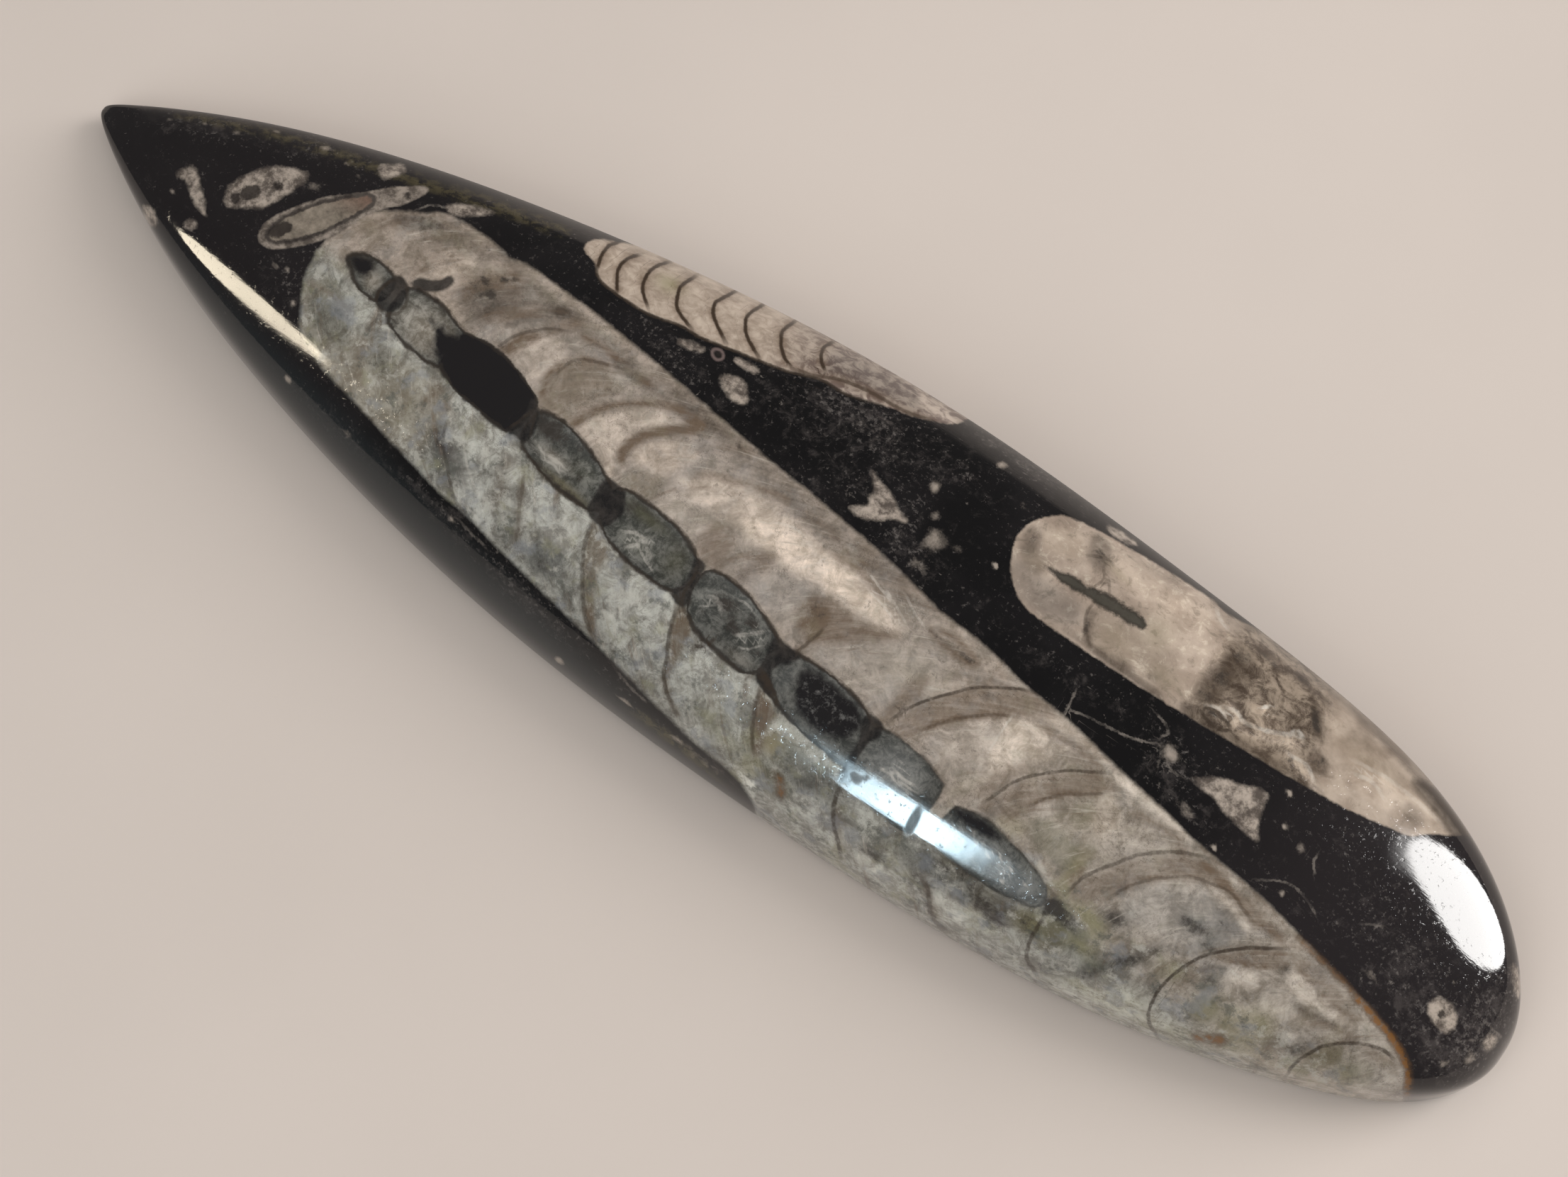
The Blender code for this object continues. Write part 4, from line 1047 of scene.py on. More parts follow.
# Soft-edged areas of the blunt and the small orthocone, laid out like WASHES
SIDE_WASHES = (
    # cream part
    (7, -0.3, 0, 0, 0.15, ((1500, -284), (1528, -281), (1536, -262), (1542, -250), (1530, -243),
     (1510, -248), (1502, -262))),
    (7, -0.26, 0, 0, 0.15, ((1416, -236), (1430, -242), (1444, -230), (1438, -208),
     (1424, -204))),
    (10, -0.12, -0.2, 0, 0, ((1424, -190), (1470, -192), (1540, -190), (1550, -160), (1500, -146),
     (1450, -152))),
    (12, 0.14, 0, 0, 0, ((1640, -286), (1690, -284), (1730, -262), (1744, -230), (1736, -190),
     (1728, -152), (1700, -160), (1690, -200), (1650, -230))),
    (8, -0.04, 0.1, 0, 0.1, ((1556, -196), (1590, -194), (1640, -196), (1650, -170), (1620, -152),
     (1580, -152), (1564, -170))),
    (5, -0.2, 0, 0, 0.2, ((1590, -152), (1640, -148), (1700, -146), (1700, -140), (1600, -140))),
    (8, -0.06, 0.1, 0, 0.1, ((1690, -297), (1745, -300), (1750, -286), (1730, -276),
     (1705, -284))),
    (8, -0.08, 0, 0, 0.12, ((1580, -292), (1640, -292), (1650, -276), (1600, -268),
     (1570, -276))),
    # rubble part
    (9, -0.15, 0, 0, 0.6, ((1750, -250), (1790, -246), (1796, -212), (1770, -204), (1752, -216))),
    (8, -0.1, 0, 0, 0.6, ((1740, -200), (1772, -200), (1778, -176), (1750, -168), (1740, -180))),
    (5, 0, 0, 0, 0.7, ((1780, -284), (1830, -282), (1900, -272), (1900, -264), (1840, -270),
     (1780, -274))),
    (8, 0.2, -0.2, 0, 0, ((1770, -298), (1840, -298), (1890, -288), (1880, -282), (1820, -286),
     (1775, -288))),
    (6, -0.3, 0, 0, 0.9, ((1886, -257), (1902, -250), (1926, -226), (1914, -221), (1896, -238))),
    (8, 0, 0, 0, 0.5, ((1866, -232), (1904, -226), (1906, -206), (1876, -204))),
    (6, 0.3, 0, 0, 0, ((1820, -208), (1850, -210), (1872, -200), (1864, -184), (1836, -180),
     (1822, -192))),
    (4, 0.6, -0.2, 0, 0, ((1786, -194), (1804, -192), (1822, -176), (1850, -178), (1876, -188),
     (1896, -206), (1910, -200), (1898, -186), (1870, -176), (1846, -168), (1818, -166),
     (1798, -180))),
    (4, 0.5, -0.2, 0, 0, ((1762, -172), (1780, -177), (1796, -172), (1790, -167), (1770, -167))),
    (4, 0.5, -0.2, 0, 0, ((1898, -178), (1930, -176), (1956, -162), (1952, -156), (1926, -166),
     (1900, -170))),
    (3, 1, -0.2, 0, 0, ((1830, -213), (1836, -218), (1840, -212), (1835, -207))),
    (6, -0.1, 0, 0, 0.6, ((1924, -204), (1946, -204), (1958, -186), (1944, -176), (1926, -184))),
    (8, 0, 0.2, 0, 0.3, ((1830, -168), (1896, -166), (1900, -152), (1840, -150))),
    # pale tail
    (12, -0.08, 0.1, 0, 0.1, ((1955, -284), (2020, -276), (2080, -262), (2070, -236),
     (2000, -232), (1950, -240))),
    (6, 0.2, -0.1, 0, 0, ((1985, -204), (2040, -208), (2064, -196), (2050, -186), (2010, -188))),
    (6, 0.1, 0, 0, 0, ((1980, -222), (2060, -228), (2130, -222), (2130, -214), (2050, -216),
     (1990, -210))),
    (8, -0.18, 0, 0, 0.3, ((2076, -216), (2104, -216), (2108, -192), (2084, -190))),
    # tail of the small orthocone
    (8, -0.15, -0.1, 0, 0.1, ((1060, -296), (1130, -304), (1180, -306), (1190, -284),
     (1130, -276), (1080, -266), (1050, -262))),
    (5, 0.35, -0.2, 0, 0, ((1184, -310), (1240, -310), (1244, -298), (1210, -294), (1188, -300))),
    (4, 0.3, -0.1, 0, 0, ((1030, -244), (1060, -252), (1100, -256), (1180, -276), (1176, -268),
     (1100, -250), (1050, -246))),
    (4, -0.25, 0, 0, 0.4, ((1550, -190), (1558, -170), (1570, -150), (1584, -150), (1568, -172),
     (1562, -192))),
    (6, -0.25, 0, 0, 0.35, ((1700, -298), (1800, -292), (1900, -281), (2000, -264), (2100, -241),
     (2200, -212), (2215, -200), (2250, -215), (2210, -236), (2110, -266), (2000, -290),
     (1900, -306), (1800, -315), (1700, -315))),
    (8, 0.1, 0, 0.1, 0, ((1590, -178), (1600, -186), (1640, -180), (1640, -156), (1600, -150),
     (1572, -156))),
    (8, -0.1, 0, 0, 0.2, ((1748, -268), (1786, -268), (1790, -240), (1756, -236))),
    (8, -0.1, 0, 0, 0.2, ((1742, -226), (1774, -226), (1778, -192), (1744, -190))),
    (6, 0.2, -0.2, 0, 0, ((2000, -214), (2060, -226), (2110, -222), (2100, -208), (2040, -206))),
    (8, 0.14, 0, 0, 0, ((1540, -272), (1620, -280), (1660, -262), (1640, -236), (1580, -240))),
    (9, -0.16, 0, 0.1, 0.1, ((1430, -216), (1462, -212), (1468, -196), (1440, -190))),
    (5, -0.25, 0, 0, 0.3, ((1740, -160), (1800, -158), (1860, -158), (1960, -162), (1960, -154),
     (1860, -148), (1800, -144), (1740, -142))),
    (4, -0.2, 0, 0, 0.35, ((1540, -150), (1600, -152), (1640, -158), (1660, -150), (1700, -148),
     (1700, -142), (1600, -142), (1540, -144))),
    (9, -0.12, 0, 0, 0.1, ((1470, -180), (1530, -184), (1540, -160), (1500, -150), (1466, -158))),
    (8, 0.12, 0, 0.1, 0, ((1440, -256), (1490, -270), (1500, -240), (1450, -226))),
    (6, -0.5, 0, 0, 0.3, ((2070, -236), (2120, -222), (2160, -208), (2200, -214), (2190, -250),
     (2120, -256), (2070, -250))),
)
# Soft colour in the blunt and the small orthocone, laid out like SHELL_TONES
SIDE_TONES = (
    (1560, -255, 20, 6, 10, -0.1, 0.2, 0.3), (1650, -215, 24, 24, 0, -0.06, 0.2, 0.3),
    (1600, -185, 30, 20, 0, -0.12, 0.2, 0.1), (1690, -170, 30, 16, 0, -0.12, 0.2, 0.2),
    (1682, -162, 7, 7, 0, -0.3, 0, 0), (1640, -265, 60, 20, 0, 0.06, 0.2, 0),
    (1725, -286, 20, 8, 0, -0.1, 0, 0), (2000, -230, 50, 16, 5, 0.05, 0.1, 0.1),
    (1990, -205, 20, 8, 0, -0.1, 0.2, 0), (2080, -238, 24, 6, 10, 0.1, 0, 0),
    (2170, -225, 40, 9, 15, -0.2, 0, 0), (805, -240, 20, 12, -10, -0.05, 0.3, 0.9),
    (720, -225, 16, 16, 0, 0.1, 0.1, 0), (760, -225, 12, 18, 0, 0.05, 0.1, 0),
    (1020, -241, 18, 3, 12, 0.3, 0, 0),
)


def stone_attributes(u, v):
    """Every drawn measure at the mesh's points, by name. Distances are in millimetres."""
    sheet = Sheet(u, v)
    mm = 1 / DRAWING_SCALE
    fields = {
        "great_shell": sheet.shapes([GREAT_SHELL], 80) * mm,
        "siphon_side": sheet.rise(SIPHON_LINE) * mm,
        "beads": sheet.shapes(BEADS, 40) * mm,
        "bead_cores": sheet.shapes(BEAD_CORES, 30) * mm,
        "necks": sheet.shapes(NECKS, 30) * mm,
        "small_shell": sheet.shapes([SMALL_SHELL], 60) * mm,
        "blunt_shell": sheet.shapes([BLUNT_SHELL], 60) * mm,
        "blunt_streak": sheet.shapes(BLUNT_STREAK, 30) * mm,
        "scraps": sheet.shapes(SCRAPS, 30) * mm,
        "long_oval": sheet.shapes([LONG_OVAL], 40) * mm,
        "long_oval_inside": sheet.shapes([LONG_OVAL_INSIDE], 40) * mm,
        "ringlets": sheet.shapes(RINGLETS, 20) * mm,
        "scrap_hearts": sheet.shapes(SCRAP_HEARTS, 20) * mm,
        "brown": sheet.bands(BROWN_BANDS) + sheet.washes(WASHES, 3),
        "rust": sheet.bands(RUST),
        "near_flank": sheet.washes(NEAR_FLANK, 0),
        "far_flank": sheet.washes(FAR_FLANK, 0),
        "along": u * mm,
        "across": v * mm,
    }
    for name, drawn in (
        ("dark_line", DARK_LINES), ("small_septa", SMALL_SEPTA), ("pale_line", PALE_LINES),
        ("glint", GLINTS),
    ):
        fields[name], fields[name + "_strength"] = sheet.lines(drawn)
    fields["small_brown"] = sheet.bands([(a, 7, p) for a, _, p in SMALL_SEPTA])
    rise = sheet.rise(SIPHON_LINE)
    fields["lamella"] = (u - LAMELLA_BOW * np.minimum(rise * rise, LAMELLA_REACH**2)) * mm
    fields["pale_dots"] = sheet.patches(PALE_DOTS, 0)
    fields["dark_spots"] = sheet.patches(DARK_SPOTS, 0)
    fields["speck_density"] = sheet.patches(SPECK_DENSITY, 0)
    fields["worn_spots"] = sheet.patches(WORN_SPOTS, 0)
    fields["bead_cracks"] = sheet.patches(BEAD_CRACKS, 0)
    for kind, name in enumerate(("lightness", "warmth", "olive")):
        fields[name] = sheet.patches(SHELL_TONES, kind)
        fields[name] += sheet.washes(WASHES, kind)
        fields["side_" + name] = sheet.patches(SIDE_TONES, kind)
        fields["side_" + name] += sheet.washes(SIDE_WASHES, kind)
    fields["side_brown"] = sheet.washes(SIDE_WASHES, 3)
    return fields


def stone_mesh(name):
    """The stone's mesh, with the drawing's measures on its points."""
    rings = stone_rings()
    u, v = lay_out(rings)
    count = rings.shape[1]
    poles = np.array(
        [(side * LENGTH / 2, FORM[0][1], WIDEST_HEIGHT) for side in (-1, 1)]
    )
    pole_u, pole_v = drawing_places(poles)
    points = np.concatenate([rings.reshape(-1, 3), poles])
    corner = np.arange(count)
    after = (corner + 1) % count
    start = (np.arange(RINGS - 1) * count)[:, None]
    quads = np.stack(
        [start + corner, start + count + corner, start + count + after, start + after], -1
    ).reshape(-1, 4)
    last = (RINGS - 1) * count
    tip, end = RINGS * count, RINGS * count + 1
    fans = [(a, b, tip) for a, b in zip(corner.tolist(), after.tolist())]
    fans += [(last + b, last + a, end) for a, b in zip(corner.tolist(), after.tolist())]
    mesh = bpy.data.meshes.new(name)
    mesh.from_pydata((points * MM).tolist(), [], quads.tolist() + fans)
    mesh.shade_smooth()
    u = np.concatenate([u.ravel(), pole_u])
    v = np.concatenate([v.ravel(), pole_v])
    fields = stone_attributes(u, v)
    base = np.zeros((RINGS, count))
    base[:, TOP_POINTS + 2 * EDGE_POINTS :] = 1
    base[:, 0] = base[:, TOP_POINTS + 2 * EDGE_POINTS - 1] = 1
    fields["base"] = np.concatenate([base.ravel(), [0, 0]])
    for field, values in fields.items():
        attribute = mesh.attributes.new(field, "FLOAT", "POINT")
        attribute.data.foreach_set("value", values.astype(np.float32))
    return mesh


# ================================================================ materials
# How much rougher than the polish these places are
SMEAR_DULLNESS = 0.025
CALCITE_DULLNESS = 0.015
BEAD_DULLNESS = 0.04
FAR_FLANK_DULLNESS = 0.32
WORN_DULLNESS = 0.3
SAWN_DULLNESS = 0.5
STONE_IOR = 1.46
RELIEF_STRENGTH = 0.15
RELIEF_DEPTH = 0.00008  # metres


def tint(red, green, blue):
    """A colour given as it looks on a screen, 0 to 255, as linear light."""
    parts = [c / 255 for c in (red, green, blue)]
    return tuple(
        c / 12.92 if c <= 0.04045 else ((c + 0.055) / 1.055) ** 2.4 for c in parts
    ) + (1.0,)


# Colours of the black stone
BLACK_CLOUD = tint(23, 21, 22)
BLACK_HAZE = tint(35, 31, 32)
GREY_SMUDGE = tint(98, 91, 88)
GREY_SPECK = tint(112, 106, 102)
GREY_FLECK = tint(128, 121, 114)
OLIVE_TINT_AND_PAINTED_REFLECTION = tint(108, 98, 66)
NEAR_FLANK_PAINTED_REFLECTION = tint(34, 40, 42)
PALE_VEIN = tint(150, 141, 132)
PALE_SCRAP = tint(168, 156, 144)
# Colours of tones laid over the shells
WARM_TONE = tint(166, 147, 126)
COOL_TONE = tint(140, 141, 141)
OLIVE_TONE = tint(132, 128, 94)
# Colours of the great shell
CREAM_SHADE = tint(121, 110, 98)
GREY_SHADE = tint(106, 103, 96)
LAYER_STAIN = tint(112, 94, 78)
PALE_LAYER = tint(192, 184, 171)
BAND_BROWN = tint(98, 82, 67)
DARK_BLOTCH = tint(82, 83, 77)
LIGHT_BLOTCH = tint(184, 181, 171)
OLIVE_BLOTCH = tint(134, 131, 104)
BLUE_BLOTCH = tint(128, 131, 136)
SPOT_BROWN = tint(84, 77, 69)
CRACK_BROWN = tint(70, 62, 54)
DARK_SPOT = tint(52, 47, 43)
PALE_GLINT = tint(206, 200, 190)
# Colours of the siphon and thin lines
BEAD_SHADE = tint(50, 51, 48)
BEAD_GREY = tint(101, 100, 95)
CORE_BLACK = tint(27, 25, 26)
CORE_CRACK = tint(118, 116, 113)
BEAD_RIM = tint(44, 39, 35)
NECK_BLACK = tint(26, 25, 25)
NECK_BROWN = tint(54, 50, 47)
LINE_BROWN = tint(54, 45, 37)
# Colours of the small shell
SMALL_SHADE = tint(146, 131, 117)
SMALL_CREAM = tint(186, 171, 156)
SMALL_END_SHADE = tint(96, 82, 76)
SMALL_END_GREY = tint(156, 143, 131)
SMALL_HALO = tint(104, 86, 70)
SEPTUM_BROWN = tint(58, 46, 36)
# Colours of the blunt shell
BLUNT_SHADE = tint(142, 127, 114)
BLUNT_CREAM = tint(172, 157, 143)
BLUNT_DARK_BLOTCH = tint(112, 102, 90)
BLUNT_LIGHT_BLOTCH = tint(200, 188, 171)
TAIL_SHADE = tint(138, 123, 109)
TAIL_CREAM = tint(174, 159, 144)
TAIL_BLOTCH = tint(118, 104, 90)
RUBBLE_BROWN = tint(74, 63, 54)
RUBBLE_CREAM = tint(144, 130, 115)
RUBBLE_VEIN = tint(176, 162, 146)
RUBBLE_STAIN = tint(62, 50, 40)
STREAK_HEART = tint(32, 31, 28)
STREAK_EDGE = tint(54, 53, 47)
# Colours of the pale scraps
SCRAP_SHADE = tint(82, 74, 68)
OVAL_WARM = tint(92, 74, 64)
OVAL_GREY = tint(114, 105, 94)
RING_GREY = tint(80, 73, 66)
RING_LINE = tint(36, 31, 30)
RINGLET_PINK = tint(132, 114, 110)
SCRAP_HEART = tint(38, 33, 31)
# Colours of the rusty seam and the sawn base
RUST_HALO = tint(80, 60, 42)
RUST_CORE = tint(118, 79, 38)
SAWN_DARK = tint(52, 50, 49)
SAWN_LIGHT = tint(88, 85, 82)


class Weave:
    """Short calls for building a material's nodes."""

    def __init__(self, material):
        material.use_nodes = True
        self.tree = material.node_tree
        self.shader = self.tree.nodes["Principled BSDF"]
        place = self.tree.nodes.new("ShaderNodeTexCoord")
        self.place = self.vector("MULTIPLY", place.outputs["Object"], (1000,) * 3)

    def put(self, value, socket):
        if isinstance(value, bpy.types.NodeSocket):
            self.tree.links.new(value, socket)
        else:
            socket.default_value = value

    def node(self, kind, values, **settings):
        node = self.tree.nodes.new(kind)
        for name, setting in settings.items():
            setattr(node, name, setting)
        for key, value in values.items():
            self.put(value, node.inputs[key])
        return node

    def vector(self, operation, a, b):
        return self.node("ShaderNodeVectorMath", {0: a, 1: b}, operation=operation).outputs[0]

    def field(self, name):
        node = self.tree.nodes.new("ShaderNodeAttribute")
        node.attribute_name = name
        return node.outputs["Fac"]

    def math(self, operation, a, b=0.0):
        return self.node("ShaderNodeMath", {0: a, 1: b}, operation=operation).outputs[0]

    def add(self, a, b):
        return self.math("ADD", a, b)

    def times(self, a, b):
        return self.math("MULTIPLY", a, b)

    def minus(self, a, b):
        return self.math("SUBTRACT", a, b)

    def ramp(self, value, low, high, to_low=0.0, to_high=1.0, smooth=True):
        node = self.node(
            "ShaderNodeMapRange",
            {0: value, 1: low, 2: high, 3: to_low, 4: to_high},
            interpolation_type="SMOOTHSTEP" if smooth else "LINEAR",
        )
        return node.outputs[0]

    def inside(self, distance, edge=0.0, soft=0.1):
        """1 inside a drawn shape and 0 outside it."""
        return self.ramp(distance, edge - soft, edge + soft, 1.0, 0.0)

    def stroke(self, name, waver, amount=0.35):
        """1 on the drawn lines of this name, times their strength."""
        away = self.math("ABSOLUTE", self.add(self.field(name), self.times(waver, amount)))
        on = self.ramp(away, 0.45, 1.5, 1.0, 0.0)
        return self.times(on, self.field(name + "_strength"))

    def line(self, distance, half_width, soft=0.1):
        """1 on a drawn line and 0 away from it."""
        return self.ramp(
            self.math("ABSOLUTE", distance), half_width - soft, half_width + soft, 1.0, 0.0
        )

    def noise(
        self, size, detail=3.0, roughness=0.5, seed=0.0, stretch=None, distortion=0.0, place=None
    ):
        """Noise whose patches are about size millimetres across."""
        where = place or self.place
        if stretch is not None:
            where = self.vector("MULTIPLY", where, stretch)
        if seed:
            where = self.vector("ADD", where, (seed * 17.3, seed * 5.1, seed * 29.7))
        node = self.node(
            "ShaderNodeTexNoise",
            {
                "Vector": where,
                "Scale": 1.0 / size,
                "Detail": detail,
                "Roughness": roughness,
                "Distortion": distortion,
            },
        )
        return node.outputs["Fac"]

    def mix(self, share, a, b):
        node = self.tree.nodes.new("ShaderNodeMix")
        node.data_type = "RGBA"
        self.put(share, node.inputs[0])
        self.put(a, node.inputs[6])
        self.put(b, node.inputs[7])
        return node.outputs[2]

    def brighten(self, colour, amount):
        """The colour made lighter or darker by an amount around 0."""
        node = self.tree.nodes.new("ShaderNodeVectorMath")
        node.operation = "SCALE"
        self.put(colour, node.inputs[0])
        self.put(self.math("MAXIMUM", self.add(amount, 1.0), 0.03), node.inputs["Scale"])
        return node.outputs[0]


def limestone(w, look):
    """Near-black stone with grey specks, pale flecks and thin veins, with painted reflections on
    its near flank and near edge.
    """
    cloud = w.noise(9.0, 4, 0.6, seed=1)
    grain = w.noise(0.5, 3, 0.7, seed=2)
    clump = w.noise(1.5, 5, 0.75, seed=3, distortion=0.3)
    colour = w.mix(
        w.ramp(cloud, 0.38, 0.72), tuple(look.limestone) + (1.0,), BLACK_CLOUD
    )
    along = w.field("along")
    wide_end, tip = w.ramp(along, 132, 156, 0.0, 0.85), w.ramp(along, 56, 20, 0.0, 0.55)
    hazy = w.math("MAXIMUM", wide_end, tip)
    colour = w.mix(hazy, colour, BLACK_HAZE)
    density = w.field("speck_density")
    smudge = w.ramp(w.add(clump, w.times(density, 0.17)), 0.56, 0.84)
    colour = w.mix(w.times(smudge, 0.3), colour, GREY_SMUDGE)
    speck = w.ramp(
        w.add(grain, w.add(w.times(w.minus(cloud, 0.5), 0.25), w.times(density, 0.12))),
        0.61, 0.80,
    )
    colour = w.mix(w.times(speck, 0.5), colour, GREY_SPECK)
    fleck = w.add(w.noise(1.0, 4, 0.7, seed=4, distortion=0.3), w.times(density, 0.035))
    fleck = w.ramp(fleck, 0.66, 0.76)
    colour = w.mix(w.times(fleck, 0.5), colour, GREY_FLECK)
    # olive along the edges of the black stone; at the near edge it is a painted reflection of the
    # floor
    olive = w.ramp(w.times(w.field("olive"), w.ramp(clump, 0.3, 0.6)), 0.1, 0.8, 0.0, 0.7)
    colour = w.mix(olive, colour, OLIVE_TINT_AND_PAINTED_REFLECTION)
    # painted reflection: the near flank made greener and lighter, as if it mirrored its
    # surroundings
    colour = w.mix(w.times(w.field("near_flank"), 0.8), colour, NEAR_FLANK_PAINTED_REFLECTION)
    waver = w.minus(grain, 0.5)
    vein = w.times(w.stroke("pale_line", waver, 4.5), w.ramp(clump, 0.38, 0.62, 0.15, 1.3))
    colour = w.mix(vein, colour, PALE_VEIN)
    ragged = w.add(w.field("pale_dots"), w.times(w.minus(clump, 0.5), 0.7))
    dots = w.times(w.ramp(ragged, 0.1, 0.55), w.ramp(w.field("pale_dots"), 0.03, 0.12))
    return w.mix(w.times(dots, 0.75), colour, PALE_SCRAP)


def tone(w, colour, lift, prefix=""):
    """Lays the listed light, warm, cool and olive patches over a shell's colour."""
    colour = w.brighten(colour, lift)
    warmth = w.field(prefix + "warmth")
    colour = w.mix(w.ramp(warmth, 0.0, 1.0, 0.0, 0.5, smooth=False), colour, WARM_TONE)
    colour = w.mix(w.ramp(warmth, 0.0, -1.0, 0.0, 0.4, smooth=False), colour, COOL_TONE)
    return w.mix(
        w.ramp(w.field(prefix + "olive"), 0.0, 1.0, 0.0, 0.62, smooth=False), colour, OLIVE_TONE
    )


def great_shell(w, look):
    """Cut calcite: warm and pale above the siphon, greenish grey and mottled below it."""
    cloud = w.noise(6.5, 4, 0.6, seed=5, distortion=0.5)
    patch = w.noise(2.2, 5, 0.72, seed=6, distortion=0.6)
    grain = w.noise(0.5, 4, 0.75, seed=7)
    lamella = w.field("lamella")
    side = w.field("siphon_side")
    sheet = w.node(
        "ShaderNodeCombineXYZ", {0: lamella, 1: w.times(side, 0.2), 2: w.times(cloud, 0.8)}
    ).outputs[0]
    layers = w.noise(2.0, 5, 0.68, seed=8, place=sheet)
    streaks = w.noise(0.75, 4, 0.7, seed=9, place=sheet)
    warm = w.mix(w.ramp(patch, 0.32, 0.68), CREAM_SHADE, tuple(look.cream_calcite) + (1,))
    grey = w.mix(w.ramp(patch, 0.36, 0.64), GREY_SHADE, tuple(look.grey_calcite) + (1,))
    below = w.add(side, w.times(w.minus(cloud, 0.5), 3.0))
    colour = w.mix(w.ramp(below, -1.5, 2.5), warm, grey)
    wide_end = w.ramp(w.field("along"), 100, 140)
    colour = w.mix(w.times(wide_end, 0.3), colour, grey)
    lift = w.add(
        w.add(w.times(w.field("lightness"), 1.85), w.times(w.minus(layers, 0.5), 1.1)),
        w.add(w.times(w.minus(grain, 0.5), 0.9), w.times(w.minus(cloud, 0.5), 0.3)),
    )
    colour = tone(w, colour, lift)
    stain = w.times(w.ramp(layers, 0.42, 0.28), 0.5)
    colour = w.mix(stain, colour, LAYER_STAIN)
    pale = w.times(w.ramp(streaks, 0.56, 0.72), 0.4)
    colour = w.mix(pale, colour, PALE_LAYER)
    brown = w.times(w.field("brown"), w.ramp(streaks, 0.34, 0.62, 1.2, 0.75))
    colour = w.mix(w.ramp(brown, 0.0, 1.0, 0.0, 0.9, smooth=False), colour, BAND_BROWN)
    blotch = w.noise(2.8, 5, 0.72, seed=36, distortion=0.15)
    blotched = w.ramp(w.add(below, w.times(wide_end, 6.0)), -1.0, 4.0, 0.25, 1.0)
    dark = w.times(w.ramp(blotch, 0.46, 0.34), blotched)
    colour = w.mix(w.times(dark, 0.7), colour, DARK_BLOTCH)
    light = w.times(w.ramp(blotch, 0.54, 0.66), blotched)
    colour = w.mix(w.times(light, 0.6), colour, LIGHT_BLOTCH)
    hue = w.noise(3.4, 4, 0.6, seed=37)
    colour = w.mix(
        w.times(w.ramp(hue, 0.54, 0.68), w.times(blotched, 0.45)), colour, OLIVE_BLOTCH
    )
    colour = w.mix(
        w.times(w.ramp(hue, 0.46, 0.34), w.times(blotched, 0.45)), colour, BLUE_BLOTCH
    )
    spots = w.ramp(w.noise(1.1, 4, 0.8, seed=10), 0.58, 0.73)
    colour = w.mix(w.times(spots, 0.55), colour, SPOT_BROWN)
    contour = w.math("ABSOLUTE", w.minus(w.noise(3.6, 5, 0.7, seed=11), 0.5))
    crack = w.ramp(contour, 0.0, 0.012, 1.0, 0.0)
    crack = w.times(crack, w.ramp(cloud, 0.42, 0.6))
    colour = w.mix(w.times(crack, 0.4), colour, CRACK_BROWN)
    return pitted(w, colour, patch)


def pitted(w, colour, mottle):
    """The listed dark spots and pale glints of the shells."""
    spots = w.field("dark_spots")
    crumb = w.noise(0.75, 4, 0.75, seed=38)
    ragged = w.add(spots, w.times(w.minus(crumb, 0.5), 1.5))
    dark = w.times(w.ramp(ragged, 0.12, 0.75), w.ramp(spots, 0.04, 0.3))
    colour = w.mix(w.times(dark, 0.85), colour, DARK_SPOT)
    waver = w.minus(w.noise(0.7, 3, 0.6, seed=34), 0.5)
    glint = w.times(w.stroke("glint", waver, 1.6), w.ramp(mottle, 0.35, 0.6, 0.35, 1.0))
    return w.mix(glint, colour, PALE_GLINT)


def beads(w, colour):
    """The siphon's chain of beads, laid over the shell's colour."""
    wobble = w.times(w.minus(w.noise(1.1, 4, 0.65, seed=12), 0.5), 0.55)
    distance = w.add(w.field("beads"), wobble)
    mottle = w.noise(1.3, 5, 0.75, seed=13, distortion=0.4)
    grain = w.noise(0.38, 3, 0.7, seed=14)
    fill = w.mix(w.ramp(mottle, 0.36, 0.66), BEAD_SHADE, BEAD_GREY)
    # the lightness here includes the painted sheen on beads 8 and 9
    lift = w.add(w.times(w.field("lightness"), 1.5), w.times(w.minus(grain, 0.5), 0.6))
    fill = tone(w, fill, lift)
    fill = pitted(w, fill, mottle)
    cracked = w.ramp(w.noise(0.8, 5, 0.8, seed=33), 0.5, 0.7)
    core = w.inside(w.add(w.field("bead_cores"), w.times(wobble, 2.6)), 0.0, 0.55)
    dark = w.mix(w.times(cracked, w.field("bead_cracks")), CORE_BLACK, CORE_CRACK)
    fill = w.mix(core, fill, dark)
    uneven = w.ramp(w.noise(2.2, 3, 0.6, seed=35), 0.35, 0.65, 0.16, 0.5)
    near_rim = w.math("ABSOLUTE", w.add(distance, 0.1))
    rim = w.times(w.ramp(w.math("DIVIDE", near_rim, uneven), 0.2, 1.0, 1.0, 0.0), 0.85)
    colour = w.mix(w.inside(distance, 0.0, 0.14), colour, fill)
    rim = w.times(rim, w.ramp(w.field("along"), 104, 107, 1.0, 0.4))
    colour = w.mix(rim, colour, BEAD_RIM)
    neck = w.inside(w.add(w.field("necks"), w.times(wobble, 0.8)), 0.0, 0.22)
    neck_colour = w.mix(w.ramp(mottle, 0.35, 0.7), NECK_BLACK, NECK_BROWN)
    return w.mix(w.times(neck, 0.92), colour, neck_colour)


def dark_lines(w, colour):
    """The thin dark lines, a little ragged and broken."""
    waver = w.minus(w.noise(0.9, 3, 0.65, seed=15), 0.5)
    broken = w.ramp(w.noise(0.8, 4, 0.7, seed=16), 0.3, 0.58, 0.5, 1.0)
    return w.mix(w.times(w.stroke("dark_line", waver, 1.8), broken), colour, LINE_BROWN)


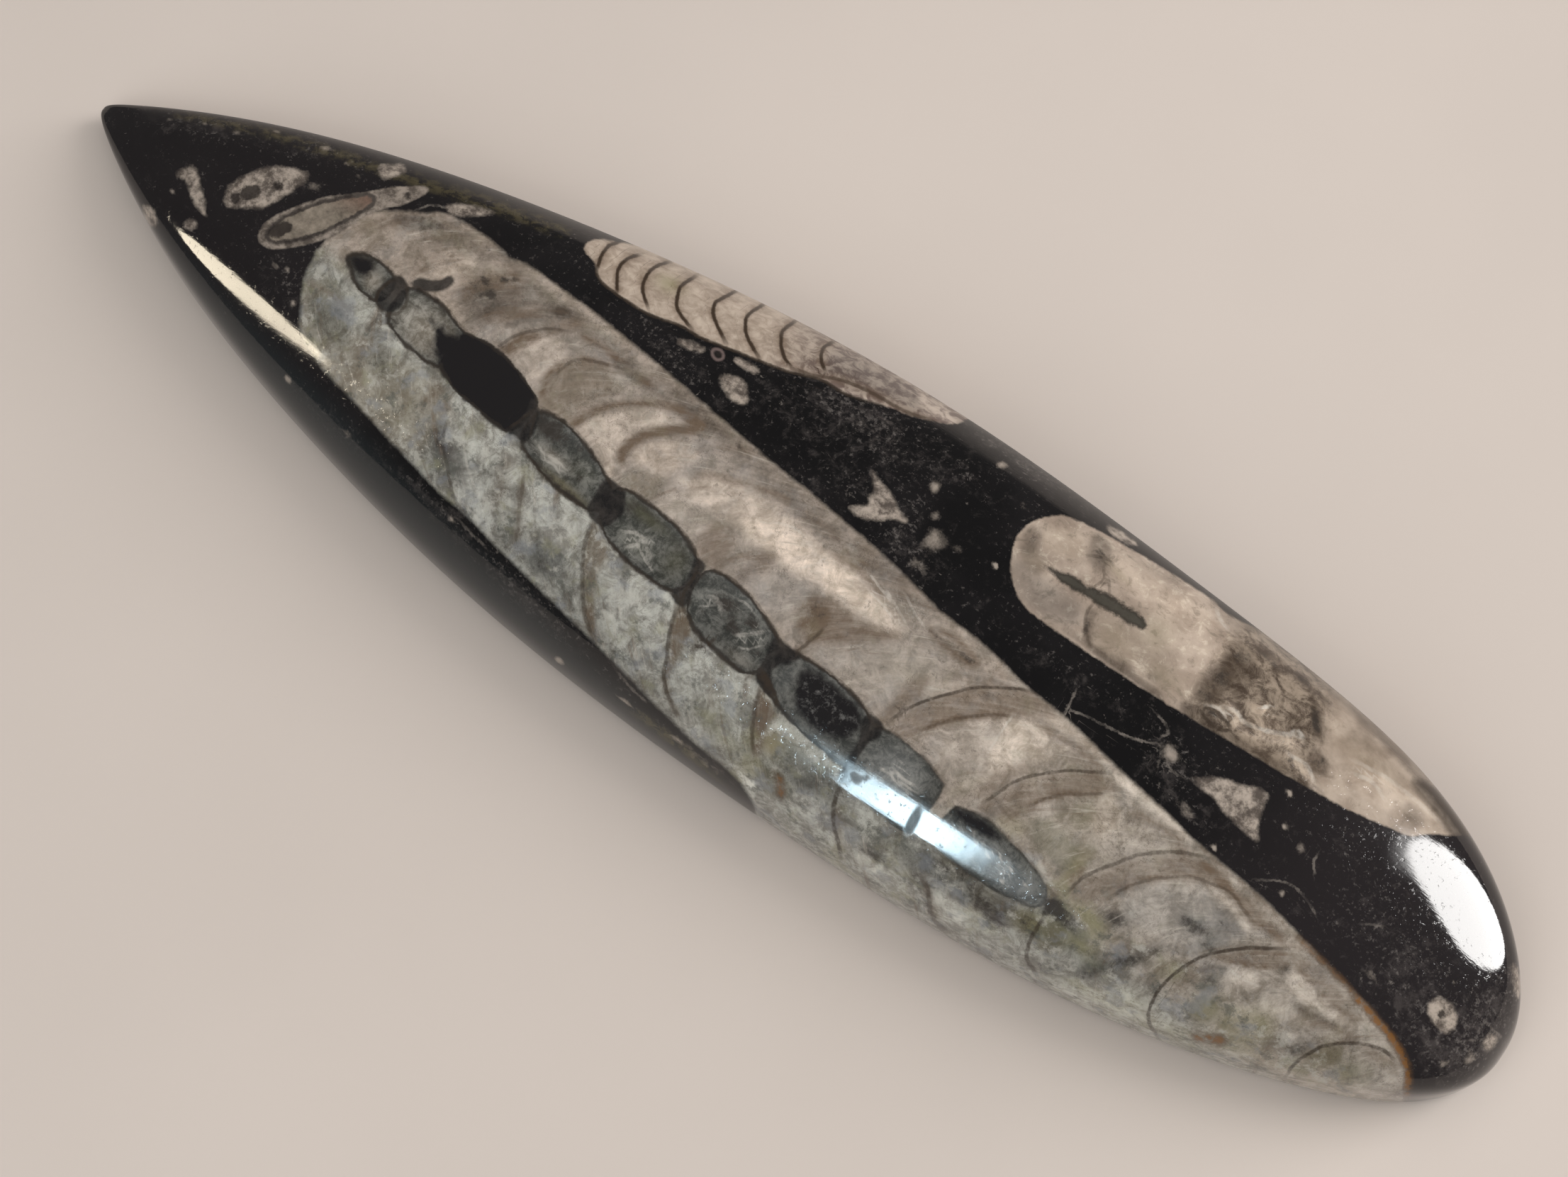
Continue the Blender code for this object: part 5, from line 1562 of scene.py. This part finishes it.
def small_shell(w):
    """Cream calcite with brown septa, greyer at its wide end."""
    mottle = w.noise(1.4, 5, 0.65, seed=17, distortion=0.5)
    colour = w.mix(w.ramp(mottle, 0.3, 0.7), SMALL_SHADE, SMALL_CREAM)
    grey = w.mix(w.ramp(mottle, 0.38, 0.62), SMALL_END_SHADE, SMALL_END_GREY)
    colour = w.mix(w.ramp(w.field("along"), 71, 80), colour, grey)
    colour = tone(w, colour, w.times(w.field("side_lightness"), 1.2), "side_")
    brown = w.times(w.field("small_brown"), w.ramp(mottle, 0.3, 0.7, 0.75, 0.4))
    colour = w.mix(brown, colour, SMALL_HALO)
    waver = w.minus(w.noise(0.8, 3, 0.6, seed=18), 0.5)
    return w.mix(w.stroke("small_septa", waver, 1.2), colour, SEPTUM_BROWN)


def blunt_shell(w):
    """Cream calcite, then brown rubble, then a pale tail."""
    mottle = w.noise(4.0, 4, 0.55, seed=19, distortion=0.3)
    fine = w.noise(1.5, 5, 0.7, seed=20, distortion=0.3)
    cream = w.mix(w.ramp(mottle, 0.3, 0.7), BLUNT_SHADE, BLUNT_CREAM)
    blotch = w.noise(1.7, 5, 0.74, seed=39, distortion=0.5)
    cream = w.mix(w.ramp(blotch, 0.48, 0.34, 0.0, 0.6), cream, BLUNT_DARK_BLOTCH)
    cream = w.mix(w.ramp(blotch, 0.53, 0.68, 0.0, 0.55), cream, BLUNT_LIGHT_BLOTCH)
    pale_end = w.mix(w.ramp(mottle, 0.35, 0.65), TAIL_SHADE, TAIL_CREAM)
    pale_end = w.mix(w.ramp(blotch, 0.45, 0.3, 0.0, 0.45), pale_end, TAIL_BLOTCH)
    rubble = w.mix(w.ramp(blotch, 0.37, 0.63), RUBBLE_BROWN, RUBBLE_CREAM)
    veins = w.ramp(w.math("ABSOLUTE", w.minus(fine, 0.55)), 0.0, 0.02, 1.0, 0.0)
    rubble = w.mix(w.times(veins, 0.12), rubble, RUBBLE_VEIN)
    along = w.add(w.field("along"), w.times(w.minus(fine, 0.5), 4.0))
    colour = w.mix(w.ramp(along, 130.2, 132.8), cream, rubble)
    slant = w.add(along, w.times(w.add(w.field("across"), 15.0), -0.35))
    colour = w.mix(w.ramp(slant, 144.0, 147.5), colour, pale_end)
    lift = w.add(w.times(w.field("side_lightness"), 1.3), w.times(w.minus(fine, 0.5), 0.45))
    colour = tone(w, colour, lift, "side_")
    brown = w.times(w.field("side_brown"), w.ramp(fine, 0.35, 0.65, 1.2, 0.7))
    colour = w.mix(w.ramp(brown, 0.0, 1.0, 0.0, 0.85, smooth=False), colour, RUBBLE_STAIN)
    colour = pitted(w, colour, fine)
    ragged = w.add(w.field("blunt_streak"), w.times(w.minus(fine, 0.5), 1.4))
    streak = w.inside(ragged, 0.0, 0.25)
    heart = w.mix(w.ramp(ragged, -0.5, -0.1, 1.0, 0.0), STREAK_HEART, STREAK_EDGE)
    return w.mix(w.times(streak, 0.92), colour, heart)


def scraps(w, colour):
    """The pale scraps, the long oval ring, the ringlets and their dark hearts."""
    wobble = w.times(w.minus(w.noise(1.0, 4, 0.7, seed=21), 0.5), 0.85)
    mottle = w.noise(1.6, 5, 0.7, seed=22)
    pale = w.mix(w.ramp(mottle, 0.36, 0.64), SCRAP_SHADE, PALE_SCRAP)
    colour = w.mix(w.inside(w.add(w.field("scraps"), wobble), 0.0, 0.3), colour, pale)
    oval = w.inside(w.add(w.field("long_oval"), w.times(wobble, 0.6)), 0.0, 0.14)
    inner = w.add(w.field("long_oval_inside"), w.times(wobble, 0.8))
    fill = w.mix(w.ramp(w.field("across"), -8.0, -4.0), OVAL_WARM, OVAL_GREY)
    fill = w.brighten(fill, w.times(w.minus(mottle, 0.45), 3.0))
    rim = w.line(w.add(inner, -0.15), 0.3, 0.2)
    ring = w.mix(w.times(rim, 0.8), w.mix(0.35, pale, RING_GREY), RING_LINE)
    colour = w.mix(oval, colour, w.mix(w.inside(inner, 0.0, 0.12), ring, fill))
    ringlet = w.line(w.add(w.field("ringlets"), 0.15), 0.15, 0.14)
    colour = w.mix(w.times(ringlet, 0.55), colour, RINGLET_PINK)
    hearts = w.inside(w.add(w.field("scrap_hearts"), w.times(wobble, 1.4)), 0.05, 0.2)
    return w.mix(w.times(hearts, 0.9), colour, SCRAP_HEART)


def stone_material(look):
    """Polished limestone and calcite, with a sawn, matt base."""
    material = bpy.data.materials.new("polished_fossil_limestone")
    w = Weave(material)
    edge = w.times(w.minus(w.noise(1.0, 4, 0.65, seed=23), 0.5), 0.5)
    colour = limestone(w, look)
    great = w.inside(w.add(w.field("great_shell"), edge), -0.04, 0.3)
    colour = w.mix(great, colour, beads(w, great_shell(w, look)))
    small = w.inside(w.add(w.field("small_shell"), edge), 0.0, 0.16)
    colour = w.mix(small, colour, small_shell(w))
    blunt = w.inside(w.add(w.field("blunt_shell"), edge), 0.0, 0.16)
    colour = w.mix(blunt, colour, blunt_shell(w))
    colour = dark_lines(w, colour)
    colour = scraps(w, colour)
    rust = w.times(w.field("rust"), w.ramp(w.noise(0.9, 4, 0.7, seed=24), 0.3, 0.62, 0.45, 1.2))
    colour = w.mix(w.ramp(rust, 0.05, 0.5, 0.0, 0.6), colour, RUST_HALO)
    colour = w.mix(w.ramp(rust, 0.45, 1.0, 0.0, 0.8), colour, RUST_CORE)

    base = w.ramp(w.field("base"), 0.2, 0.8)
    saw = w.noise(0.5, 2, 0.5, seed=25, stretch=(0.06, 1.0, 1.0))
    sawn = w.mix(saw, SAWN_DARK, SAWN_LIGHT)
    colour = w.mix(base, colour, sawn)
    w.put(colour, w.shader.inputs["Base Color"])

    calcite = w.math("MAXIMUM", great, w.math("MAXIMUM", small, blunt))
    smear = w.noise(5.0, 3, 0.6, seed=26)
    polish = look.polish_roughness
    rough = w.ramp(smear, 0.3, 0.7, polish, polish + SMEAR_DULLNESS)
    for place, dullness in (
        (calcite, CALCITE_DULLNESS),
        (base, SAWN_DULLNESS),
        (w.inside(w.field("beads"), 0.0, 0.3), BEAD_DULLNESS),
        (w.field("far_flank"), FAR_FLANK_DULLNESS),
        (w.ramp(w.field("worn_spots"), 0.2, 0.7), WORN_DULLNESS),
    ):
        rough = w.add(rough, w.times(place, dullness))
    w.put(rough, w.shader.inputs["Roughness"])
    w.shader.inputs["IOR"].default_value = STONE_IOR

    pits = w.ramp(w.noise(0.5, 3, 0.7, seed=27), 0.26, 0.40)
    scratch = w.noise(0.3, 2, 0.6, seed=28, stretch=(0.10, 1.0, 1.0))
    wave = w.noise(4.0, 2, 0.5, seed=29)
    height = w.add(w.add(w.times(pits, 0.5), w.times(scratch, 0.35)), w.times(wave, 1.2))
    bump = w.node(
        "ShaderNodeBump",
        {"Strength": RELIEF_STRENGTH, "Distance": RELIEF_DEPTH, "Height": height},
    )
    w.put(bump.outputs["Normal"], w.shader.inputs["Normal"])
    return material


# ================================================================ what a user may change
class FossilLook(bpy.types.PropertyGroup):
    """Colours and finish of the fossil stone."""

    limestone: FloatVectorProperty(
        name="Limestone", description="Colour of the black stone", subtype="COLOR",
        size=3, min=0, max=1, default=tint(13, 12, 13)[:3],
    )
    cream_calcite: FloatVectorProperty(
        name="Cream calcite", description="Pale colour above the siphon", subtype="COLOR",
        size=3, min=0, max=1, default=tint(163, 150, 138)[:3],
    )
    grey_calcite: FloatVectorProperty(
        name="Grey calcite", description="Pale colour below the siphon", subtype="COLOR",
        size=3, min=0, max=1, default=tint(157, 156, 148)[:3],
    )
    polish_roughness: FloatProperty(
        name="Polish", description="Roughness of the polished top and sides",
        min=0.02, max=0.6, default=0.05, subtype="FACTOR",
    )


class FossilStudio(bpy.types.PropertyGroup):
    """Floor and lights that the fossil is shown with."""

    floor_colour: FloatVectorProperty(
        name="Floor", description="Colour of the plain floor", subtype="COLOR",
        size=3, min=0, max=1, default=(0.595, 0.528, 0.48),
    )
    surround: FloatProperty(
        name="Surround", description="Brightness of the plain surround", min=0, default=0.15,
    )
    window_power: FloatProperty(
        name="Window light", description="Power of the large soft light",
        subtype="POWER", unit="POWER", min=0, default=6.7,
    )
    shine_power: FloatProperty(
        name="Window shine", description="Power of the window as the polish mirrors it",
        subtype="POWER", unit="POWER", min=0, default=29.5,
    )
    ceiling_power: FloatProperty(
        name="Ceiling light", description="Power of the soft light from above",
        subtype="POWER", unit="POWER", min=0, default=9.9,
    )
    lamp_power: FloatProperty(
        name="Lamp", description="Power of the small cool light",
        subtype="POWER", unit="POWER", min=0, default=5.0,
    )
    fill_power: FloatProperty(
        name="Near fill", description="Power of the soft light on the near side",
        subtype="POWER", unit="POWER", min=0, default=3.3,
    )
    strip_power: FloatProperty(
        name="Strip light", description="Power of the narrow warm light at the tip",
        subtype="POWER", unit="POWER", min=0, default=5.8,
    )


# ================================================================ the stage
FLOOR_REACH = 3.0  # metres
FLOOR_SHADE = 0.96
SURROUND_COLOUR = (1.0, 0.97, 0.94, 1.0)
WHITE = (1.0, 0.98, 0.96)
COOL = (0.66, 0.88, 1.0)
PALE_COOL = (0.94, 0.98, 1.0)
WARM = (1.0, 0.88, 0.68)
MIDDLE = (0.0, 0.0, 0.0)
WIDE_END = (0.083, 0.008, 0.012)
SIPHON = (0.023, -0.016, 0.013)
TIP_SIDE = (-0.062, -0.008, 0.01)
# Name, role, the setting that holds its power, its azimuth, elevation and metres away from the
# target, its degrees wide and tall as seen from there, colour, target and shape
LIGHTS = (
    ("window_light", "soft", "window_power", (48, 30, 0.9), (35, 51), WHITE, MIDDLE, "ELLIPSE"),
    ("window_shine", "shine", "shine_power", (47, 27.5, 0.9), (31, 55), WHITE, WIDE_END,
     "ELLIPSE"),
    ("cool_lamp", "shine", "lamp_power", (-92.4, 39.5, 0.9), (6.4, 20), COOL, SIPHON,
     "RECTANGLE"),
    ("near_fill", "soft", "fill_power", (-95, 42, 1.0), (50, 40), PALE_COOL, MIDDLE, "ELLIPSE"),
    ("warm_strip", "shine", "strip_power", (-145.5, 32.5, 0.9), (15, 27), WARM, TIP_SIDE,
     "ELLIPSE"),
    ("ceiling_light", "soft", "ceiling_power", (0, 90, 1.2), (80, 80), WHITE, MIDDLE, "ELLIPSE"),
)


class FOSSIL_OT_stone(bpy.types.Operator):
    """Build the polished stone with the fossils in it"""

    bl_idname = "fossil.stone"
    bl_label = "Fossil Stone"

    def execute(self, context):
        mesh = stone_mesh("fossil_stone")
        mesh.materials.append(stone_material(context.scene.fossil_look))
        stone = bpy.data.objects.new("fossil_stone", mesh)
        context.scene.collection.objects.link(stone)
        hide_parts("orthoceras_stone")
        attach(stone, "root")
        return {"FINISHED"}


def plain_floor(studio):
    """A plain matt floor."""
    mesh = bpy.data.meshes.new("floor")
    corners = [(-1, -1), (1, -1), (1, 1), (-1, 1)]
    mesh.from_pydata(
        [(x * FLOOR_REACH, y * FLOOR_REACH, 0) for x, y in corners], [], [(0, 1, 2, 3)]
    )
    floor = bpy.data.objects.new("floor", mesh)
    bpy.context.scene.collection.objects.link(floor)
    material = bpy.data.materials.new("plain_floor")
    w = Weave(material)
    cloud = w.noise(60.0, 3, 0.5, seed=30)
    pale = tuple(studio.floor_colour) + (1.0,)
    shade = tuple(c * FLOOR_SHADE for c in studio.floor_colour) + (1.0,)
    w.put(w.mix(w.ramp(cloud, 0.3, 0.7), pale, shade), w.shader.inputs["Base Color"])
    w.shader.inputs["Roughness"].default_value = 1.0
    w.shader.inputs["Specular IOR Level"].default_value = 0.0
    mesh.materials.append(material)


def plain_surround(studio):
    """A dim, even surround."""
    world = bpy.data.worlds.new("surround")
    world.use_nodes = True
    background = world.node_tree.nodes["Background"]
    background.inputs["Color"].default_value = SURROUND_COLOUR
    background.inputs["Strength"].default_value = studio.surround
    bpy.context.scene.world = world


def studio_light(studio, name, role, power, way, span, colour, target, shape):
    """A light laid out like a row of LIGHTS. Soft light isn't mirrored in the polish, and a shine
    is only mirrored in it."""
    azimuth, elevation, distance = way
    data = bpy.data.lights.new(name, "AREA")
    data.shape = shape
    data.size, data.size_y = (2 * distance * math.tan(math.radians(a / 2)) for a in span)
    data.energy = getattr(studio, power)
    data.color = colour
    light = bpy.data.objects.new(name, data)
    a, e = math.radians(azimuth), math.radians(elevation)
    out = Vector((math.cos(a) * math.cos(e), math.sin(a) * math.cos(e), math.sin(e)))
    turn = out.to_track_quat("Z", "Y").to_matrix().to_4x4()
    light.matrix_world = Matrix.Translation(Vector(target) + out * distance) @ turn
    light.visible_glossy = role != "soft"
    light.visible_diffuse = role != "shine"
    bpy.context.scene.collection.objects.link(light)


def stage_camera():
    """The camera, looking down at the stone from its near side."""
    data = bpy.data.cameras.new("camera")
    data.lens = LENS
    data.sensor_width = SENSOR
    data.clip_start = 0.01
    camera = bpy.data.objects.new("camera", data)
    back, right, up = (Vector(axis) for axis in camera_axes())
    place = (Vector(CAMERA_TARGET) + back * CAMERA_DISTANCE) * MM
    turn = Matrix((right, up, back)).transposed().to_4x4()
    camera.matrix_world = Matrix.Translation(place) @ turn
    bpy.context.scene.collection.objects.link(camera)
    bpy.context.scene.camera = camera


class FOSSIL_OT_stage(bpy.types.Operator):
    """Lay the floor and set the lights and the camera"""

    bl_idname = "fossil.stage"
    bl_label = "Stage"

    def execute(self, context):
        studio = context.scene.fossil_studio
        plain_floor(studio)
        plain_surround(studio)
        for light in LIGHTS:
            studio_light(studio, *light)
        stage_camera()
        context.scene.view_settings.view_transform = "Standard"
        return {"FINISHED"}


class FOSSIL_PT_panel(bpy.types.Panel):
    """Lists the fossil's pieces and settings"""

    bl_label = "Orthoceras Fossil"
    bl_idname = "FOSSIL_PT_panel"
    bl_space_type = "VIEW_3D"
    bl_region_type = "UI"
    bl_category = "Fossil"

    def draw(self, context):
        layout = self.layout
        for step in STEPS:
            layout.operator(step.bl_idname)
        for group in (context.scene.fossil_look, context.scene.fossil_studio):
            for name in group.__annotations__:
                layout.prop(group, name)


STEPS = (FOSSIL_OT_stone, FOSSIL_OT_stage)
CLASSES = (FossilLook, FossilStudio) + STEPS + (FOSSIL_PT_panel,)


def register():
    for item in CLASSES:
        bpy.utils.register_class(item)
    bpy.types.Scene.fossil_look = PointerProperty(type=FossilLook)
    bpy.types.Scene.fossil_studio = PointerProperty(type=FossilStudio)


def unregister():
    del bpy.types.Scene.fossil_studio
    del bpy.types.Scene.fossil_look
    for item in reversed(CLASSES):
        bpy.utils.unregister_class(item)


def main():
    register()
    bpy.ops.fossil.stone()
    bpy.ops.fossil.stage()


if __name__ == "__main__":
    main()
